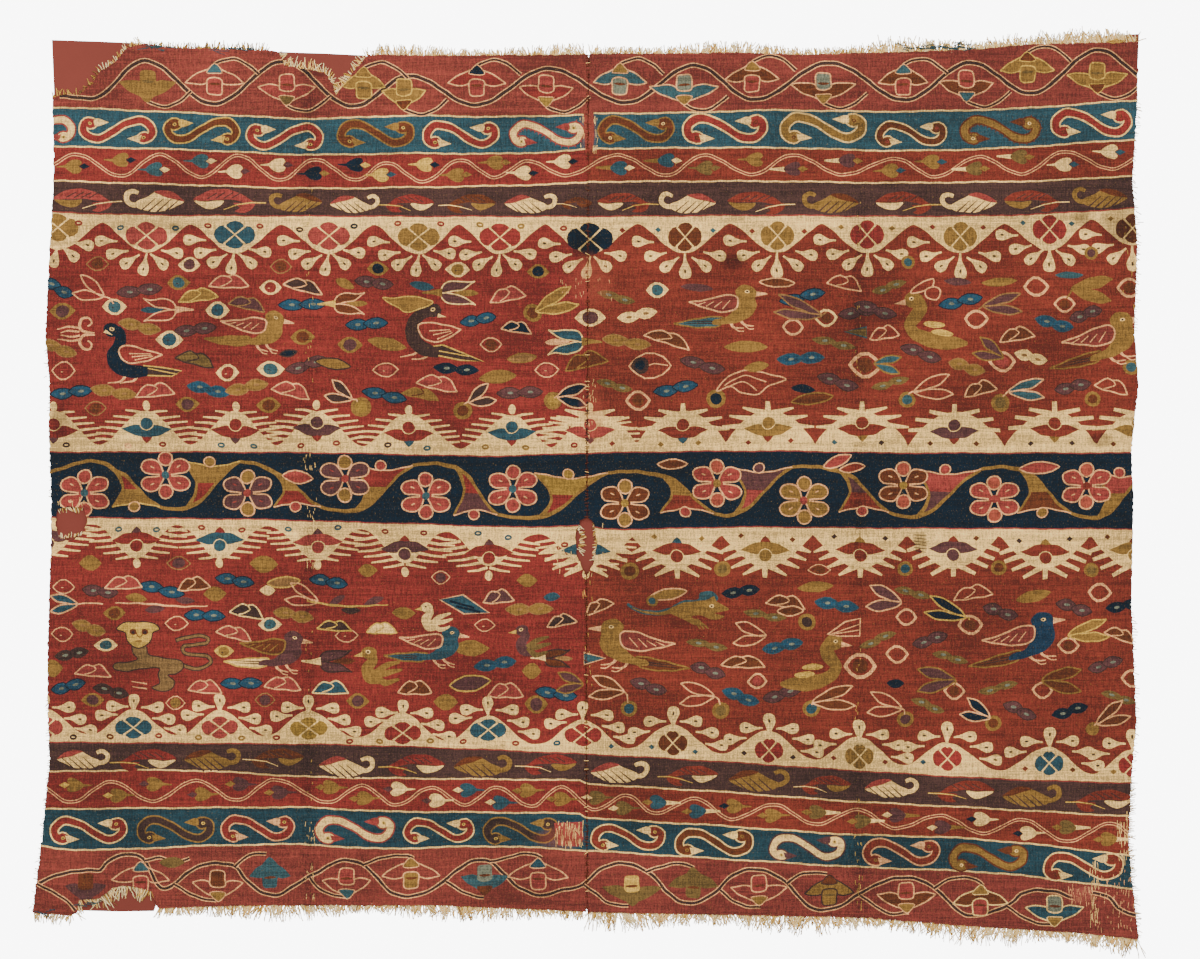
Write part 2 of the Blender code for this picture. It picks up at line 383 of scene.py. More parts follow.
edge = steps_along(BACKING_EDGE, 4.0)
backing_mesh = sheet_mesh("backing_lining", [edge], [("brick", edge)], 20.0, 0.0, BACKING_THICK,
    backing_lift)
backing = bpy.data.objects.new("backing_plain_weave", backing_mesh)
bpy.context.scene.collection.objects.link(backing)
material, shader, place = cloth_material("brick_cotton")
axes = place.node("ShaderNodeSeparateXYZ", None, Vector=place)
across, along = Yarn(place.tree, axes.outputs[0]), Yarn(place.tree, axes.outputs[1])
threads = (across * (math.tau / THREAD_PITCH)).sine()
wefts = (along * (math.tau / THREAD_PITCH)).sine()
tone = 0.75 + 0.3 * place.noise(60, 60) + 0.2 * place.noise(1.2, 1.2)
colour = Yarn(place.tree, place.node("ShaderNodeRGB").outputs[0])
colour.socket.default_value = (*dyed("brick"), 1.0)
place.tree.links.new(colour.shade(tone).socket, shader.inputs["Base Color"])
raise_grain(place, shader, threads * wefts, 0.06)
backing_mesh.materials.append(material)
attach(backing, "root")
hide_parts("backing_cloth")

# Tapestry, bands. Both panels are wool wefts beaten close over cotton warps, woven to one design of
# bands. Each colour is its own yarn, turned back where its shape ends. Places are on the table.
areas = []


def weave(dye, outline):
    """Adds an area of one dye over what is woven there already."""
    areas.append((dye, np.asarray(outline, float)))


def course(*rows):
    """A line that runs right across the cloth, as a smooth function of the place across."""
    x, y = np.array(rows, float).T
    climb = np.diff(y) / np.diff(x)
    least = 1.5 * np.minimum(np.abs(climb[1:]), np.abs(climb[:-1]))
    slope = np.concatenate([climb[:1], np.clip((climb[1:] + climb[:-1]) / 2, -least, least), climb[-1:]])

    def down(at):
        i = np.clip(np.searchsorted(x, at) - 1, 0, len(x) - 2)
        run = x[i + 1] - x[i]
        t = (at - x[i]) / run
        bend = t * t * (3 - 2 * t)
        lean = slope[i] * t * (1 - t) ** 2 - slope[i + 1] * t * t * (1 - t)
        return y[i] + (y[i + 1] - y[i]) * bend + lean * run
    return down


def between(dye, upper, lower, start=20.0, end=1165.0, step=5.0):
    """Weaves a band from one course to another."""
    x = np.arange(start, end + step, step)
    weave(dye, np.concatenate([np.column_stack([x, upper(x)]), np.column_stack([x, lower(x)])[::-1]]))


def flow(points, closed=True, step=2.2):
    """A smooth line through given points."""
    p = np.asarray(points, float)
    n = len(p)
    line = []
    for i in range(n if closed else n - 1):
        if closed:
            a, b, c, d = p[i - 1], p[i], p[(i + 1) % n], p[(i + 2) % n]
        else:
            a, b, c, d = p[max(i - 1, 0)], p[i], p[i + 1], p[min(i + 2, n - 1)]
        count = max(1, round(float(np.linalg.norm(c - b)) / step))
        t = (np.arange(count) / count)[:, None]
        line.append(b + 0.5 * t * ((c - a) + t * (2 * a - 5 * b + 4 * c - d + t
            * (3 * b - 3 * c + d - a))))
    return np.concatenate(line if closed else line + [p[-1:]])


def ribbon(line, width, closed=False):
    """Outline of a band of this width, or widths from end to end, along a line."""
    line = np.asarray(line, float)
    if closed:
        line = np.concatenate([line, line[:1]])
    way = np.gradient(line, axis=0)
    if closed:
        way[0] = way[-1] = way[0] + way[-1]
    way /= np.maximum(np.linalg.norm(way, axis=1, keepdims=True), 1e-9)
    wide = np.interp(np.linspace(0, 1, len(line)), np.linspace(0, 1, np.size(width)), np.ravel(width))
    off = np.column_stack([-way[:, 1], way[:, 0]]) * wide[:, None] / 2
    return np.concatenate([line + off, (line - off)[::-1]])


def oval(x, y, wide, high, tilt=0.0, sides=12):
    """An ellipse, tilted in degrees."""
    a = np.linspace(0, math.tau, sides, endpoint=False)
    c, s = math.cos(math.radians(tilt)), math.sin(math.radians(tilt))
    u, v = np.cos(a) * wide / 2, np.sin(a) * high / 2
    return np.column_stack([x + u * c - v * s, y + u * s + v * c])


def almond(x, y, wide, high, tilt=0.0, point=1.0):
    """An oval drawn out to a point at both ends."""
    shape = oval(0, 0, wide, high, 0, 14)
    shape[:, 1] *= (1 - (np.abs(shape[:, 0]) / (wide / 2)) ** 2) ** (0.35 * point)
    c, s = math.cos(math.radians(tilt)), math.sin(math.radians(tilt))
    return shape @ np.array([[c, s], [-s, c]]) + (x, y)


def edged(dye, edge, outline, width=1.5):
    """Weaves a shape and, round it, a thin line of another yarn."""
    outline = np.asarray(outline, float)
    if dye:
        weave(dye, outline)
    if edge:
        weave(edge, ribbon(outline, width, closed=True))


def set_at(x, y, flip=1.0, size=1.0, tilt=0.0, rise=1.0):
    """Places a motif's own points: flip turns it left for right, and rise of -1 upside down."""
    c, s = math.cos(math.radians(tilt)) * size, math.sin(math.radians(tilt)) * size
    turn = np.array([[flip * c, flip * s], [-rise * s, rise * c]])
    return lambda points: np.asarray(points, float) @ turn + (x, y)


VINE_FOOT = course((20, 106), (187, 113), (310, 119), (405, 116), (500, 117), (583, 115), (593, 114),
    (680, 113), (771, 110.5), (880, 112), (1000, 109.6), (1100, 103), (1165, 99))
BLUE_FOOT = course((20, 146), (187, 150), (310, 155), (405, 153.6), (500, 154), (583, 150), (593, 149),
    (771, 148), (900, 151), (1000, 148.5), (1100, 142), (1165, 138))
TENDRIL_FOOT = course((20, 180), (187, 185), (310, 188.6), (405, 187.6), (500, 186), (583, 183),
    (593, 182), (771, 181.5), (880, 183), (1000, 182), (1100, 178), (1165, 173))
FEATHER_FOOT = course((20, 212), (187, 216), (405, 217), (583, 217), (771, 216), (900, 217), (1000, 216),
    (1100, 211), (1165, 206))
LOW_CREAM_FOOT = course((20, 741), (53, 742), (305, 744), (450, 748), (587, 754), (714, 761), (850, 770),
    (986, 778), (1165, 784))
LOW_FEATHER_FOOT = course((20, 772), (183, 770), (330, 777), (578, 780), (587, 783), (714, 791),
    (850, 801), (947, 806), (1165, 818))
LOW_TENDRIL_FOOT = course((20, 809), (183, 807.5), (300, 807), (387, 811), (578, 813), (587, 817),
    (714, 825), (848, 834), (947, 837), (1044, 845), (1165, 860))
LOW_BLUE_FOOT = course((20, 842), (68, 849), (220, 845), (305, 844), (367, 848), (500, 846), (583, 850),
    (714, 858), (848, 866), (986, 872), (1093, 884), (1165, 893))
NAVY_HEAD = course((20, 452), (200, 452), (330, 453), (500, 456), (593, 453), (770, 451), (900, 453),
    (1165, 453))
NAVY_FOOT = course((20, 516), (125, 518), (240, 519), (350, 522), (425, 524), (520, 527), (580, 526),
    (610, 529), (735, 527), (880, 528), (1165, 529))
ABOVE_ALL = course((20, 15), (1165, 15))
BELOW_ALL = course((20, 955), (1165, 955))

between("red", ABOVE_ALL, BELOW_ALL)
between("rose", ABOVE_ALL, VINE_FOOT)
between("blue", VINE_FOOT, BLUE_FOOT)
between("aubergine", TENDRIL_FOOT, FEATHER_FOOT)
between("aubergine", LOW_CREAM_FOOT, LOW_FEATHER_FOOT)
between("deep blue", LOW_TENDRIL_FOOT, LOW_BLUE_FOOT)
between("rose", LOW_BLUE_FOOT, BELOW_ALL)
CREAM_LINE = 1.7
for foot in (VINE_FOOT, BLUE_FOOT, TENDRIL_FOOT, LOW_FEATHER_FOOT, LOW_TENDRIL_FOOT, LOW_BLUE_FOOT):
    between("cream", lambda x: foot(x) - CREAM_LINE / 2, lambda x: foot(x) + CREAM_LINE / 2)


# Tapestry, stem vines. A dark stem with pale edges waves along the outer red bands, and a lily hangs
# or stands in each of its bends, on a branch from the next crossing.
STEM_TOP = ((60, 96), (92, 99), (145, 61), (213, 104), (284, 62), (353, 107), (409, 76), (475, 105),
    (550, 69), (625, 103), (694, 66), (755, 100), (829, 63), (905, 100), (971, 63), (1030, 94),
    (1098, 50), (1150, 80))
STEM_LOW = (
    ((38, 884), (51, 877), (68, 872), (87, 870), (101, 870), (106, 864), (116, 857), (133, 854),
    (145, 860), (152, 873), (162, 888), (175, 884), (189, 872), (206, 864), (223, 863), (236, 866),
    (246, 879), (260, 891), (277, 895), (292, 887), (307, 877), (321, 870), (335, 862), (348, 860),
    (364, 865), (377, 877), (390, 891), (409, 896), (429, 891), (444, 881), (457, 870), (474, 860),
    (490, 861), (503, 872), (518, 887), (540, 895), (559, 890), (582, 885), (595, 873), (607, 866),
    (622, 863), (637, 866), (653, 875), (666, 891), (679, 901), (691, 903), (704, 899), (718, 889),
    (729, 877), (743, 870), (756, 869), (771, 873), (787, 883), (800, 898), (813, 908), (829, 909),
    (844, 904), (857, 895), (875, 885), (889, 879), (902, 877), (918, 879), (934, 888), (947, 900),
    (961, 912), (974, 915), (990, 912), (1006, 906), (1015, 900), (1021, 894), (1033, 890), (1045, 890),
    (1060, 892), (1074, 898), (1092, 893), (1109, 898), (1122, 910), (1150, 918)),
    ((38, 884), (49, 889), (64, 898), (76, 910)), ((145, 860), (160, 857), (176, 862), (190, 858)),
    ((236, 866), (244, 858), (256, 853), (267, 854)), ((364, 865), (375, 860), (390, 856), (408, 855),
    (414, 858)), ((490, 861), (505, 858), (520, 854), (534, 854), (542, 858)),
    ((646, 871), (662, 866), (680, 863), (694, 868)), ((787, 883), (798, 875), (810, 872), (827, 873)),
    ((934, 888), (947, 880), (961, 877), (976, 879), (982, 885)), ((175, 884), (189, 893), (202, 898),
    (216, 900)), ((310, 877), (321, 889), (335, 895), (346, 897)),
    ((446, 881), (459, 889), (473, 895), (484, 897)), ((584, 885), (597, 894), (609, 903), (628, 905)),
    ((720, 889), (733, 900), (746, 906), (760, 907)), ((860, 895), (875, 905), (889, 913), (908, 912)),
    ((1007, 906), (1019, 915), (1035, 922), (1052, 924)),
)



def waving(turns, step=4.0):
    """A wave through its highest and lowest places."""
    line = []
    for (x0, y0), (x1, y1) in zip(turns, turns[1:]):
        t = np.linspace(0, 1, max(2, round((x1 - x0) / step)), endpoint=False)
        line.append(np.column_stack([x0 + (x1 - x0) * t, y0 + (y1 - y0)
            * (0.5 - 0.5 * np.cos(math.pi * t))]))
    return np.concatenate(line)


def stem(line, width=3.2):
    """A dark stem between two pale lines."""
    weave("shell", ribbon(line, width + 2.0))
    weave("bark", ribbon(line, width))


LILY_WING = ((0, 1), (5, 4), (12, 7), (20, 11), (28, 18), (28, 18), (21, 19.5), (14, 20), (8, 18.5),
    (4, 15), (0, 12))
LILY_CAP = ((0, -1), (5, 3), (8, 8), (0, 9), (-8, 8), (-5, 3))
LILY_BRANCH = ((0, 0), (8, -4), (20, -6), (32, -1), (44, 9))


def lily(x, base, rise, span, wing, cap, bud, edge="shell"):
    """A lily with two wide petals, a bud between them and a cap at its base."""
    put = set_at(x, base, 1, 1, 0, rise)
    if base < MID_DOWN:
        stem(flow(put(LILY_BRANCH), closed=False, step=3), 2.0)
    stretch = np.array([span / 27.0, 1.0])
    half = np.array(LILY_WING) * stretch
    petals = np.concatenate([half, half[-2:0:-1] * (-1, 1)])
    for side in (1, -1):
        edged(wing, edge, put(flow(half * (side, 1))), 1.4)
    weave(wing or "rose", put(oval(0, 11, 9, 12)))
    edged(bud, edge, put(flow([(-7, 15), (-7.5, 22), (-6.5, 29), (0, 30), (6.5, 29), (7.5, 22), (7, 15),
        (0, 13)])), 1.4)
    weave("rust" if wing != "ochre" else "olive", put(oval(0, 19.5, 12, 2.6)))
    edged(cap, edge, put(flow(LILY_CAP, step=3)), 1.0)


stem(waving(STEM_TOP))
for i, line in enumerate(STEM_LOW):
    stem(flow(line, closed=False, step=3.5), 2.0 if i else 2.6)
for row in (
    (148, 101, -1, 27, "ochre", "ochre", "ochre", "ochre"),
    (215, 65, 1, 28, "rose", "teal", "pink"),
    (287, 105, -1, 28, "pink", "olive", "pink"),
    (364, 69, 1, 20, "ochre", "ochre", "ochre", "straw"),
    (404, 109, -1, 21, "ochre", "rust", "ochre", "straw"),
    (477, 66, 1, 28, "red", "navy", "pink"),
    (546, 106, -1, 26, "red", "gold", "pink"),
    (620, 65, 1, 26, "teal", "ochre", "sea"),
    (684, 105, -1, 33, "teal", "ochre", "sea"),
    (752, 62, 1, 26, "rust", "ochre", "pink"),
    (823, 103, -1, 31, "rust", "ochre", "sea"),
    (903, 65, 1, 24, "rust", "teal", "pink"),
    (966, 101, -1, 26, "rust", "teal", "pink"),
    (1027, 53, 1, 26, "ochre", "rust", "ochre", "straw"),
    (1097, 93, -1, 29, "ochre", "rust", "ochre", "straw"),
    (86, 903, -1, 20, "violet", "violet", "rust", None),
    (141, 862, 1, 28, None, "teal", "pink"),
    (218, 900, -1, 24, None, "ochre", "rust"),
    (270, 858, 1, 20, "teal", "teal", "teal", None),
    (347, 898, -1, 23, None, "teal", "pink"),
    (411, 858, 1, 28, None, "ochre", "ochre"),
    (485, 894, -1, 23, "teal", "rust", "sea", None),
    (538, 859, 1, 29, None, "blue", "pink"),
    (632, 905, -1, 29, "olive", "olive", "straw", None),
    (693, 868, 1, 25, "olive", "olive", "olive", None),
    (759, 905, -1, 27, None, "ochre", "pink"),
    (829, 875, 1, 24, "ochre", "rust", "ochre", "bark"),
    (906, 912, -1, 28, "rust", "ochre", "pink"),
    (980, 885, 1, 27, "rust", "ochre", "pink", "cream"),
    (1054, 925, -1, 28, "blue", "ochre", "sea", "cream"),
):
    lily(*row)


# Tapestry, blue bands. Each holds a row of S-shaped scrolls that end in two birds' heads, every one in
# its own yarn and edged in another.
SCROLL = ((-23, 8), (-29, 9), (-34, 4), (-33, -3), (-26, -9), (-17, -9), (-8, -6), (2, 0), (11, 6),
    (19, 9), (27, 8), (33, 3), (34, -4), (29, -8), (24, -7))


def scroll(x, y, flip, body, edge, size=1.0, eye="bark", hatch=False):
    """An S scroll with a bird's head at each end."""
    put = set_at(x, y, flip, size)
    body = "crimson" if body == "pink" else body
    spine = flow(put(SCROLL), closed=False, step=2.5)
    beaks = (((-24, 5), (-19, 6.5), (-11, 8.5), (-20, 10.5), (-25, 11)),
        ((23, -4), (18, -5), (10, -7), (19, -9.5), (24, -10)))
    heads = (oval(-26, 8, 12, 10), oval(27, -6, 12, 10))
    for head in (*heads, *beaks):
        weave(edge, ribbon(put(head), 3.0, closed=True))
    weave(edge, ribbon(spine, np.array([9.6, 9.8, 8.6, 9.4, 9.8]) * size))
    for head in heads:
        weave(body, put(head))
    for beak in beaks:
        weave(edge, put(beak))
    weave(body, ribbon(spine, np.array([6.6, 6.8, 5.4, 6.4, 6.8]) * size))
    for spot in ((-26, 8), (27.5, -6)):
        weave("straw" if eye == "bark" else eye, put(oval(*spot, 4.0, 3.4, 0, 8)))
        weave("bark" if eye == "bark" else body, put(oval(*spot, 1.9, 1.7, 0, 6)))
    if hatch:
        for i in range(2, len(spine) - 2, 2):
            way = spine[i + 1] - spine[i - 1]
            off = np.array([-way[1], way[0]]) / np.linalg.norm(way)
            weave(edge, ribbon([spine[i] + off * 3, spine[i] + off * 6.2], 0.9))


for row in (
    (38, 129, -1, "cream", "pink"), (118, 130, -1, "pink", "cream"), (202, 131, -1, "rust", "straw"),
    (285, 137, -1, "pink", "cream"), (376, 134, 1, "rust", "ochre"), (461, 135, 1, "pink", "cream"),
    (547, 134, 1, "cream", "pink", 0.97, "bark", True), (636, 130, 1, "rust", "ochre", 1.0, "cream"),
    (725, 129, 1, "pink", "cream", 1.1, "rust"), (823, 128, 1, "ochre", "cream", 1.12, "rust"),
    (911, 134, 1, "rust", "cream", 0.93, "pink"), (1000, 130, 1, "ochre", "rust", 1.04, "cream", True),
    (1091, 123, 1, "pink", "cream", 1.06, "rust"),
):
    scroll(*row)


# Tapestry, tendril bands. A thin double line waves along each, with a heart-shaped bud in every bend
# that points along the band and carries a small tip of another yarn.
TENDRIL_TOP = ((40, 170), (76, 155), (122, 176), (160, 155), (202, 177), (238, 156), (281, 180),
    (315, 160), (356, 180), (386, 163), (423, 182), (461, 160), (494, 178), (528, 161), (566, 176),
    (618, 155), (666, 176), (704, 155), (752, 175), (792, 155), (842, 175), (895, 159), (934, 177),
    (978, 157), (1021, 174), (1064, 152), (1111, 169), (1150, 152))
HEART = ((-10, 0), (-6, -4.5), (0, -7), (5, -6.5), (7, -3), (4, 0), (7, 3), (5, 6.5), (0, 7), (-6, 4.5))


def bud(x, y, body, tip=None, stalk=None, flip=1):
    """A heart-shaped bud, with its stalk and tip."""
    put = set_at(x, y, flip)
    if stalk:
        weave(stalk, put([(-24, -0.8), (-7, -2.6), (-7, 2.6), (-24, 0.8)]))
    else:
        weave(body, put([(-18, -0.5), (-8, -1.5), (-8, 1.5), (-18, 0.5)]))
    weave(body, put(flow(HEART)))
    if tip:
        weave(tip, put([(4, 0), (9, -3), (15, 0), (9, 3)]))


def tendril(turns):
    """The thin double line of a tendril."""
    line = waving(turns, 3.5)
    weave("shell", ribbon(line, 3.4))
    weave("rose", ribbon(line, 1.5))


tendril(TENDRIL_TOP)
for row in (
    (75, 167, "ochre", "navy"), (122, 160, "ochre", "navy"), (156, 170, "teal", "cream"),
    (202, 161, "teal", "cream"), (236, 172, "cream", "violet"), (279, 165, "cream", "violet"),
    (315, 174, "navy", "ochre"), (356, 165, "navy", "straw"), (382, 175, "straw", "blue"),
    (426, 165, "straw", "navy"), (457, 175, "ochre", "ochre"), (496, 163, "ochre", "ochre"),
    (524, 173, "cream", "navy"), (564, 162, "cream", "navy"), (620, 168, "blue", "cream", "ochre"),
    (667, 161, "blue", "cream", "ochre"), (706, 168, "olive", "olive"), (756, 160, "ochre", None),
    (793, 169, "violet", "ochre", "cream"), (848, 161, "violet", "ochre", "cream"),
    (891, 171, "ochre", "blue"), (932, 162, "ochre", "blue"), (975, 169, "olive", "ochre", "cream"),
    (1020, 157, "olive", "ochre", "cream"), (1064, 165, "cream", "blue"), (1110, 152, "cream", "blue"),
):
    bud(*row)


# Tapestry, feather bands. On dark brown, a barred feather and a swan with a hooked neck take turns.
FEATHER_TOP = ((0, 0), (8, -6), (20, -10), (34, -10), (47, -6), (58, 1), (66, 3), (56, 4), (44, 1),
    (30, 0), (14, 1))
FEATHER_LOW = ((1, 1), (9, 7), (19, 9.5), (27, 6), (30, 1), (15, 2))
FEATHER_LEAF = ((40, 4), (50, 3), (61, 4), (57, 10), (49, 13), (41, 12), (46, 8))
SWAN = ((10, 3), (20, -2), (30, -7), (40, -8), (49, -4), (57, 1), (47, 7), (36, 11), (22, 11), (12, 8))
SWAN_BACK = ((28, -7), (38, -9), (48, -6), (57, 1), (45, -1), (35, -4))


def feather(x, y, flip, high, low, size=1.0, rise=1.0):
    """A barred feather with a small leaf on its quill."""
    put = set_at(x, y, flip, size, 0, rise)
    weave(high, put(flow(FEATHER_TOP)))
    weave(low, put(flow(FEATHER_LOW)))
    weave(high, put(flow(FEATHER_LEAF)))
    for i in range(4):
        weave("aubergine", put(ribbon([(14 + 8 * i, -1), (24 + 8 * i, -7)], 1.1)))
    weave("cream" if low != "cream" else "straw", put(ribbon([(30, 10), (44, 5), (58, 3), (72, 3)],
        [0.6, 1.4, 1.2])))


def swan(x, y, flip, dye, size=1.0, rise=1.0):
    """A swan whose body is barred with the ground."""
    put = set_at(x, y, flip, size, 0, rise)
    weave(dye, put(flow(SWAN)))
    weave("rust" if dye == "ochre" else "pink", put(flow(SWAN_BACK)))
    for i in range(4):
        weave("aubergine", put(ribbon([(13 + 8 * i, 13), (29 + 8 * i, -1)], [1.9, 1.5, 0.6])))
    weave(dye, put(ribbon(flow([(13, -6), (7, -8), (2, -5), (2, 1), (8, 5), (18, 4)], False),
        [3.6, 5.2, 4.6, 5.0])))


for row in (
    ("f", 54, 199, 1, "pink", "ochre", 0.95), ("s", 125, 200, 1, "cream", 1.05),
    ("f", 194, 200, 1, "pink", "cream"), ("s", 270, 202, 1, "ochre", 0.92),
    ("s", 379, 203, -1, "cream", 0.85), ("f", 434, 203, -1, "red", "cream", 0.78),
    ("f", 496, 203, -1, "rust", "ochre", 0.8), ("s", 556, 203, -1, "cream", 0.9),
    ("f", 592, 203, -1, "rust", "rust", 0.5), ("f", 597, 202, 1, "red", "cream", 0.86),
    ("s", 660, 202, 1, "cream", 0.97), ("f", 727, 202, 1, "red", "ochre", 0.95),
    ("s", 803, 202, 1, "ochre", 0.97), ("f", 875, 202, 1, "red", "cream", 0.92),
    ("s", 941, 202, 1, "cream", 0.97), ("f", 1003, 200, 1, "red", "ochre", 0.92),
    ("s", 1073, 197, 1, "ochre", 0.95),
):
    {"f": feather, "s": swan}[row[0]](*row[1:])
for row in (
    ("s", 109, 758, -1, "cream", 0.9), ("f", 177, 759, -1, "red", "cream", 0.93),
    ("s", 240, 758, -1, "ochre", 0.97), ("f", 304, 757, -1, "rust", "ochre", 0.85),
    ("s", 374, 765, -1, "cream", 0.96), ("f", 445, 764, -1, "red", "cream", 0.93),
    ("s", 511, 765, -1, "ochre", 1.0), ("f", 577, 763, -1, "red", "ochre", 0.86),
    ("s", 648, 771, -1, "cream", 1.0), ("f", 718, 774, -1, "red", "cream", 0.85),
    ("s", 788, 779, -1, "ochre", 1.04), ("f", 851, 784, -1, "red", "ochre", 0.8),
    ("s", 917, 787, -1, "cream", 0.92), ("f", 994, 790, -1, "red", "cream", 0.92),
    ("s", 1060, 795, -1, "ochre", 1.02), ("f", 1133, 799, -1, "red", "cream", 0.94),
):
    {"f": feather, "s": swan}[row[0]](*row[1:])
for row in (
    (89, 830, 1, "red", "cream"), (176, 829, 1, "bark", "ochre"), (258, 828, 1, "red", "shell", 0.96),
    (355, 829, 1, "cream", "pink", 1.03, "bark"), (439, 830, 1, "red", "cream", 0.92),
    (521, 830, 1, "bark", "ochre", 0.98), (628, 837, 1, "red", "cream", 0.96),
    (714, 842, 1, "rust", "cream", 1.02, "ochre"), (807, 847, 1, "cream", "violet", 1.0, "bark"),
    (901, 852, 1, "red", "shell", 1.0, "ochre"), (988, 857, 1, "ochre", "rust", 1.02, "cream"),
    (1083, 866, 1, "red", "cream", 1.04, "rust"),
):
    scroll(*row)
TENDRIL_LOW = ((30, 780), (71, 802), (112, 781), (152, 801), (196, 780), (237, 800), (275, 779),
    (328, 802), (362, 785), (396, 805), (432, 787), (465, 805), (497, 787), (532, 806), (561, 787),
    (595, 809), (626, 795), (655, 813), (695, 798), (731, 819), (773, 804), (815, 824), (857, 809),
    (895, 828), (939, 815), (982, 833), (1021, 819), (1066, 841), (1110, 823), (1150, 850))
tendril(TENDRIL_LOW)
for row in (
    (74, 785, "ochre", "straw"), (118, 795, "ochre", "straw"), (154, 784, "ochre", "violet"),
    (202, 794, "ochre", "violet"), (240, 784, "violet", "ochre"), (279, 792, "violet", "ochre"),
    (330, 787, "ochre", "ochre"), (364, 798, "ochre", "ochre"), (398, 789, "cream", "violet"),
    (436, 800, "cream", "violet"), (467, 790, "blue", "cream"), (500, 802, "blue", "cream"),
    (527, 790, "ochre", "ochre"), (561, 799, "ochre", "ochre"), (596, 797, "olive", "cream"),
    (623, 808, "olive", "cream"), (657, 802, "blue", "ochre", "cream"),
    (696, 811, "blue", "ochre", "cream"), (733, 806, "ochre", "navy"), (772, 815, "ochre", "ochre"),
    (816, 812, "olive", "ochre", "cream"), (861, 821, "olive", "ochre", "cream"),
    (896, 815, "violet", "cream", "ochre"), (941, 827, "violet", "cream", "ochre"),
    (980, 819, "cream", "navy"), (1027, 833, "cream", "navy"), (1066, 827, "olive", "ochre", "cream"),
    (1107, 839, "ochre", "ochre", "cream"),
):
    bud(*row, *(None,) * (5 - len(row)), -1)


# Tapestry, cream borders. Four cream bands edge the red fields. The outer two are scalloped, with a
# flower in each scallop and drops round it. The inner two rise in spiked mounds, each round a lotus.
# The left web has thin spikes and small rings between its flowers, the right web stubby spikes and lozenges.
SEAM_ACROSS = 588.0
SCALLOPS_TOP = (
    (58, 228, "ochre"), (147, 236, "pink"), (235, 235, "blue"), (329, 236, "pink"), (419, 237, "ochre"),
    (500, 237, "red"), (590, 239, "navy"), (685, 237, "rust"), (777, 236, "ochre"), (867, 235, "red"),
    (960, 237, "ochre"), (1049, 230, "red"), (1132, 229, "rust"),
)
SCALLOPS_LOW = (
    (45, 727, "pink"), (134, 727, "blue"), (220, 727, "pink"), (309, 728, "gold"), (403, 733, "red"),
    (488, 730, "blue"), (583, 735, "red"), (673, 743, "rust"), (769, 750, "red"), (859, 756, "ochre"),
    (947, 758, "red"), (1049, 763, "blue"), (1132, 765, "red"),
)
SPIKES_TOP = (
    (54, 412, "red", "violet"), (147, 411, "blue", "red"), (236, 412, "red", "violet"),
    (317, 410, "violet", "red"), (409, 415, "red", "blue"), (512, 414, "blue", "red"),
    (590, 412, "pink", "violet"), (683, 412, "red", "blue"), (768, 410, "ochre", "red"),
    (862, 410, "red", "ochre"), (954, 413, "violet", "red"), (1054, 411, "red", "ochre"),
    (1138, 411, "ochre", "red"),
)
SPIKES_LOW = (
    (48, 556, "violet", "red"), (137, 558, "red", "violet"), (220, 558, "blue", "red"),
    (318, 560, "pink", "violet"), (405, 567, "violet", "red"), (489, 571, "red", "violet"),
    (586, 569, "blue", "red"), (677, 569, "red", "blue"), (765, 568, "ochre", "red"),
    (860, 568, "red", "ochre"), (953, 567, "violet", "red"), (1045, 570, "red", "ochre"),
    (1134, 568, "ochre", "red"),
)


def mounds(rows, base, thin, tall, narrow):
    """The far edge of a border, thin between its mounds, which are more or less narrow on the two webs."""
    middles = np.array([row[0] for row in rows], float)
    halves = np.diff(middles) / 2

    def down(x):
        near = np.argmin(np.abs(x[:, None] - middles), axis=1)
        beside = np.clip(np.where(x < middles[near], near - 1, near), 0, len(halves) - 1)
        away = np.clip(np.abs(x - middles[near]) / halves[beside], 0, 1)
        rise = (0.5 + 0.5 * np.cos(math.pi * away)) ** np.where(x < SEAM_ACROSS, *narrow)
        return base(x) + thin + (tall - thin) * rise
    return down


def drop(x, y, to_x, to_y, size=1.0):
    """A cream drop whose tip points to the border, with a dark dash in it."""
    put = set_at(x, y, 1, size, math.degrees(math.atan2(to_y - y, to_x - x)))
    side = ((-8, 0), (-6.5, 4.6), (-1, 5.8), (4.5, 3.6), (10, 1.4), (16, 0.9))
    weave("cream", put(flow((*side, *((u, -v) for u, v in side[:0:-1])), step=3)))
    weave("olive", put(oval(-1, 0, 4.4, 2.4, 0, 6)))
    weave("bark", put(oval(-1, 0, 2.8, 1.2, 0, 6)))


def rosette(x, y, dye, wide, high):
    """A flower of four petals parted by a cream cross."""
    dye = "crimson" if dye == "red" else dye
    for u, v, w, h in ((-0.26, 0, 0.48, 0.7), (0.26, 0, 0.48, 0.7), (0, -0.27, 0.46, 0.48),
            (0, 0.27, 0.46, 0.48)):
        weave(dye, oval(x + u * wide, y + v * high, w * wide, h * high))
    weave(dye, oval(x, y, wide * 0.3, high * 0.4))
    for side in (1, -1):
        weave("cream", ribbon([(x - side * 0.26 * wide, y - 0.34 * high), (x, y),
            (x + side * 0.26 * wide, y + 0.34 * high)], [1.8, 1.2, 1.8]))


def small_mark(x, y, dye):
    """A ring on the left web, a lozenge on the right."""
    if x < SEAM_ACROSS:
        weave(dye, oval(x, y, 7.6, 5.6))
        weave("cream", oval(x, y, 4.0, 1.5, 0, 6))
    else:
        weave(dye, [(x - 3.2, y), (x, y - 2.7), (x + 3.2, y), (x, y + 2.7)])


LOTUS_WING = ((0, 19), (5, 15), (11, 14), (18, 15.5), (25, 18), (25, 18), (18, 21.5), (11, 25), (0, 25.5))


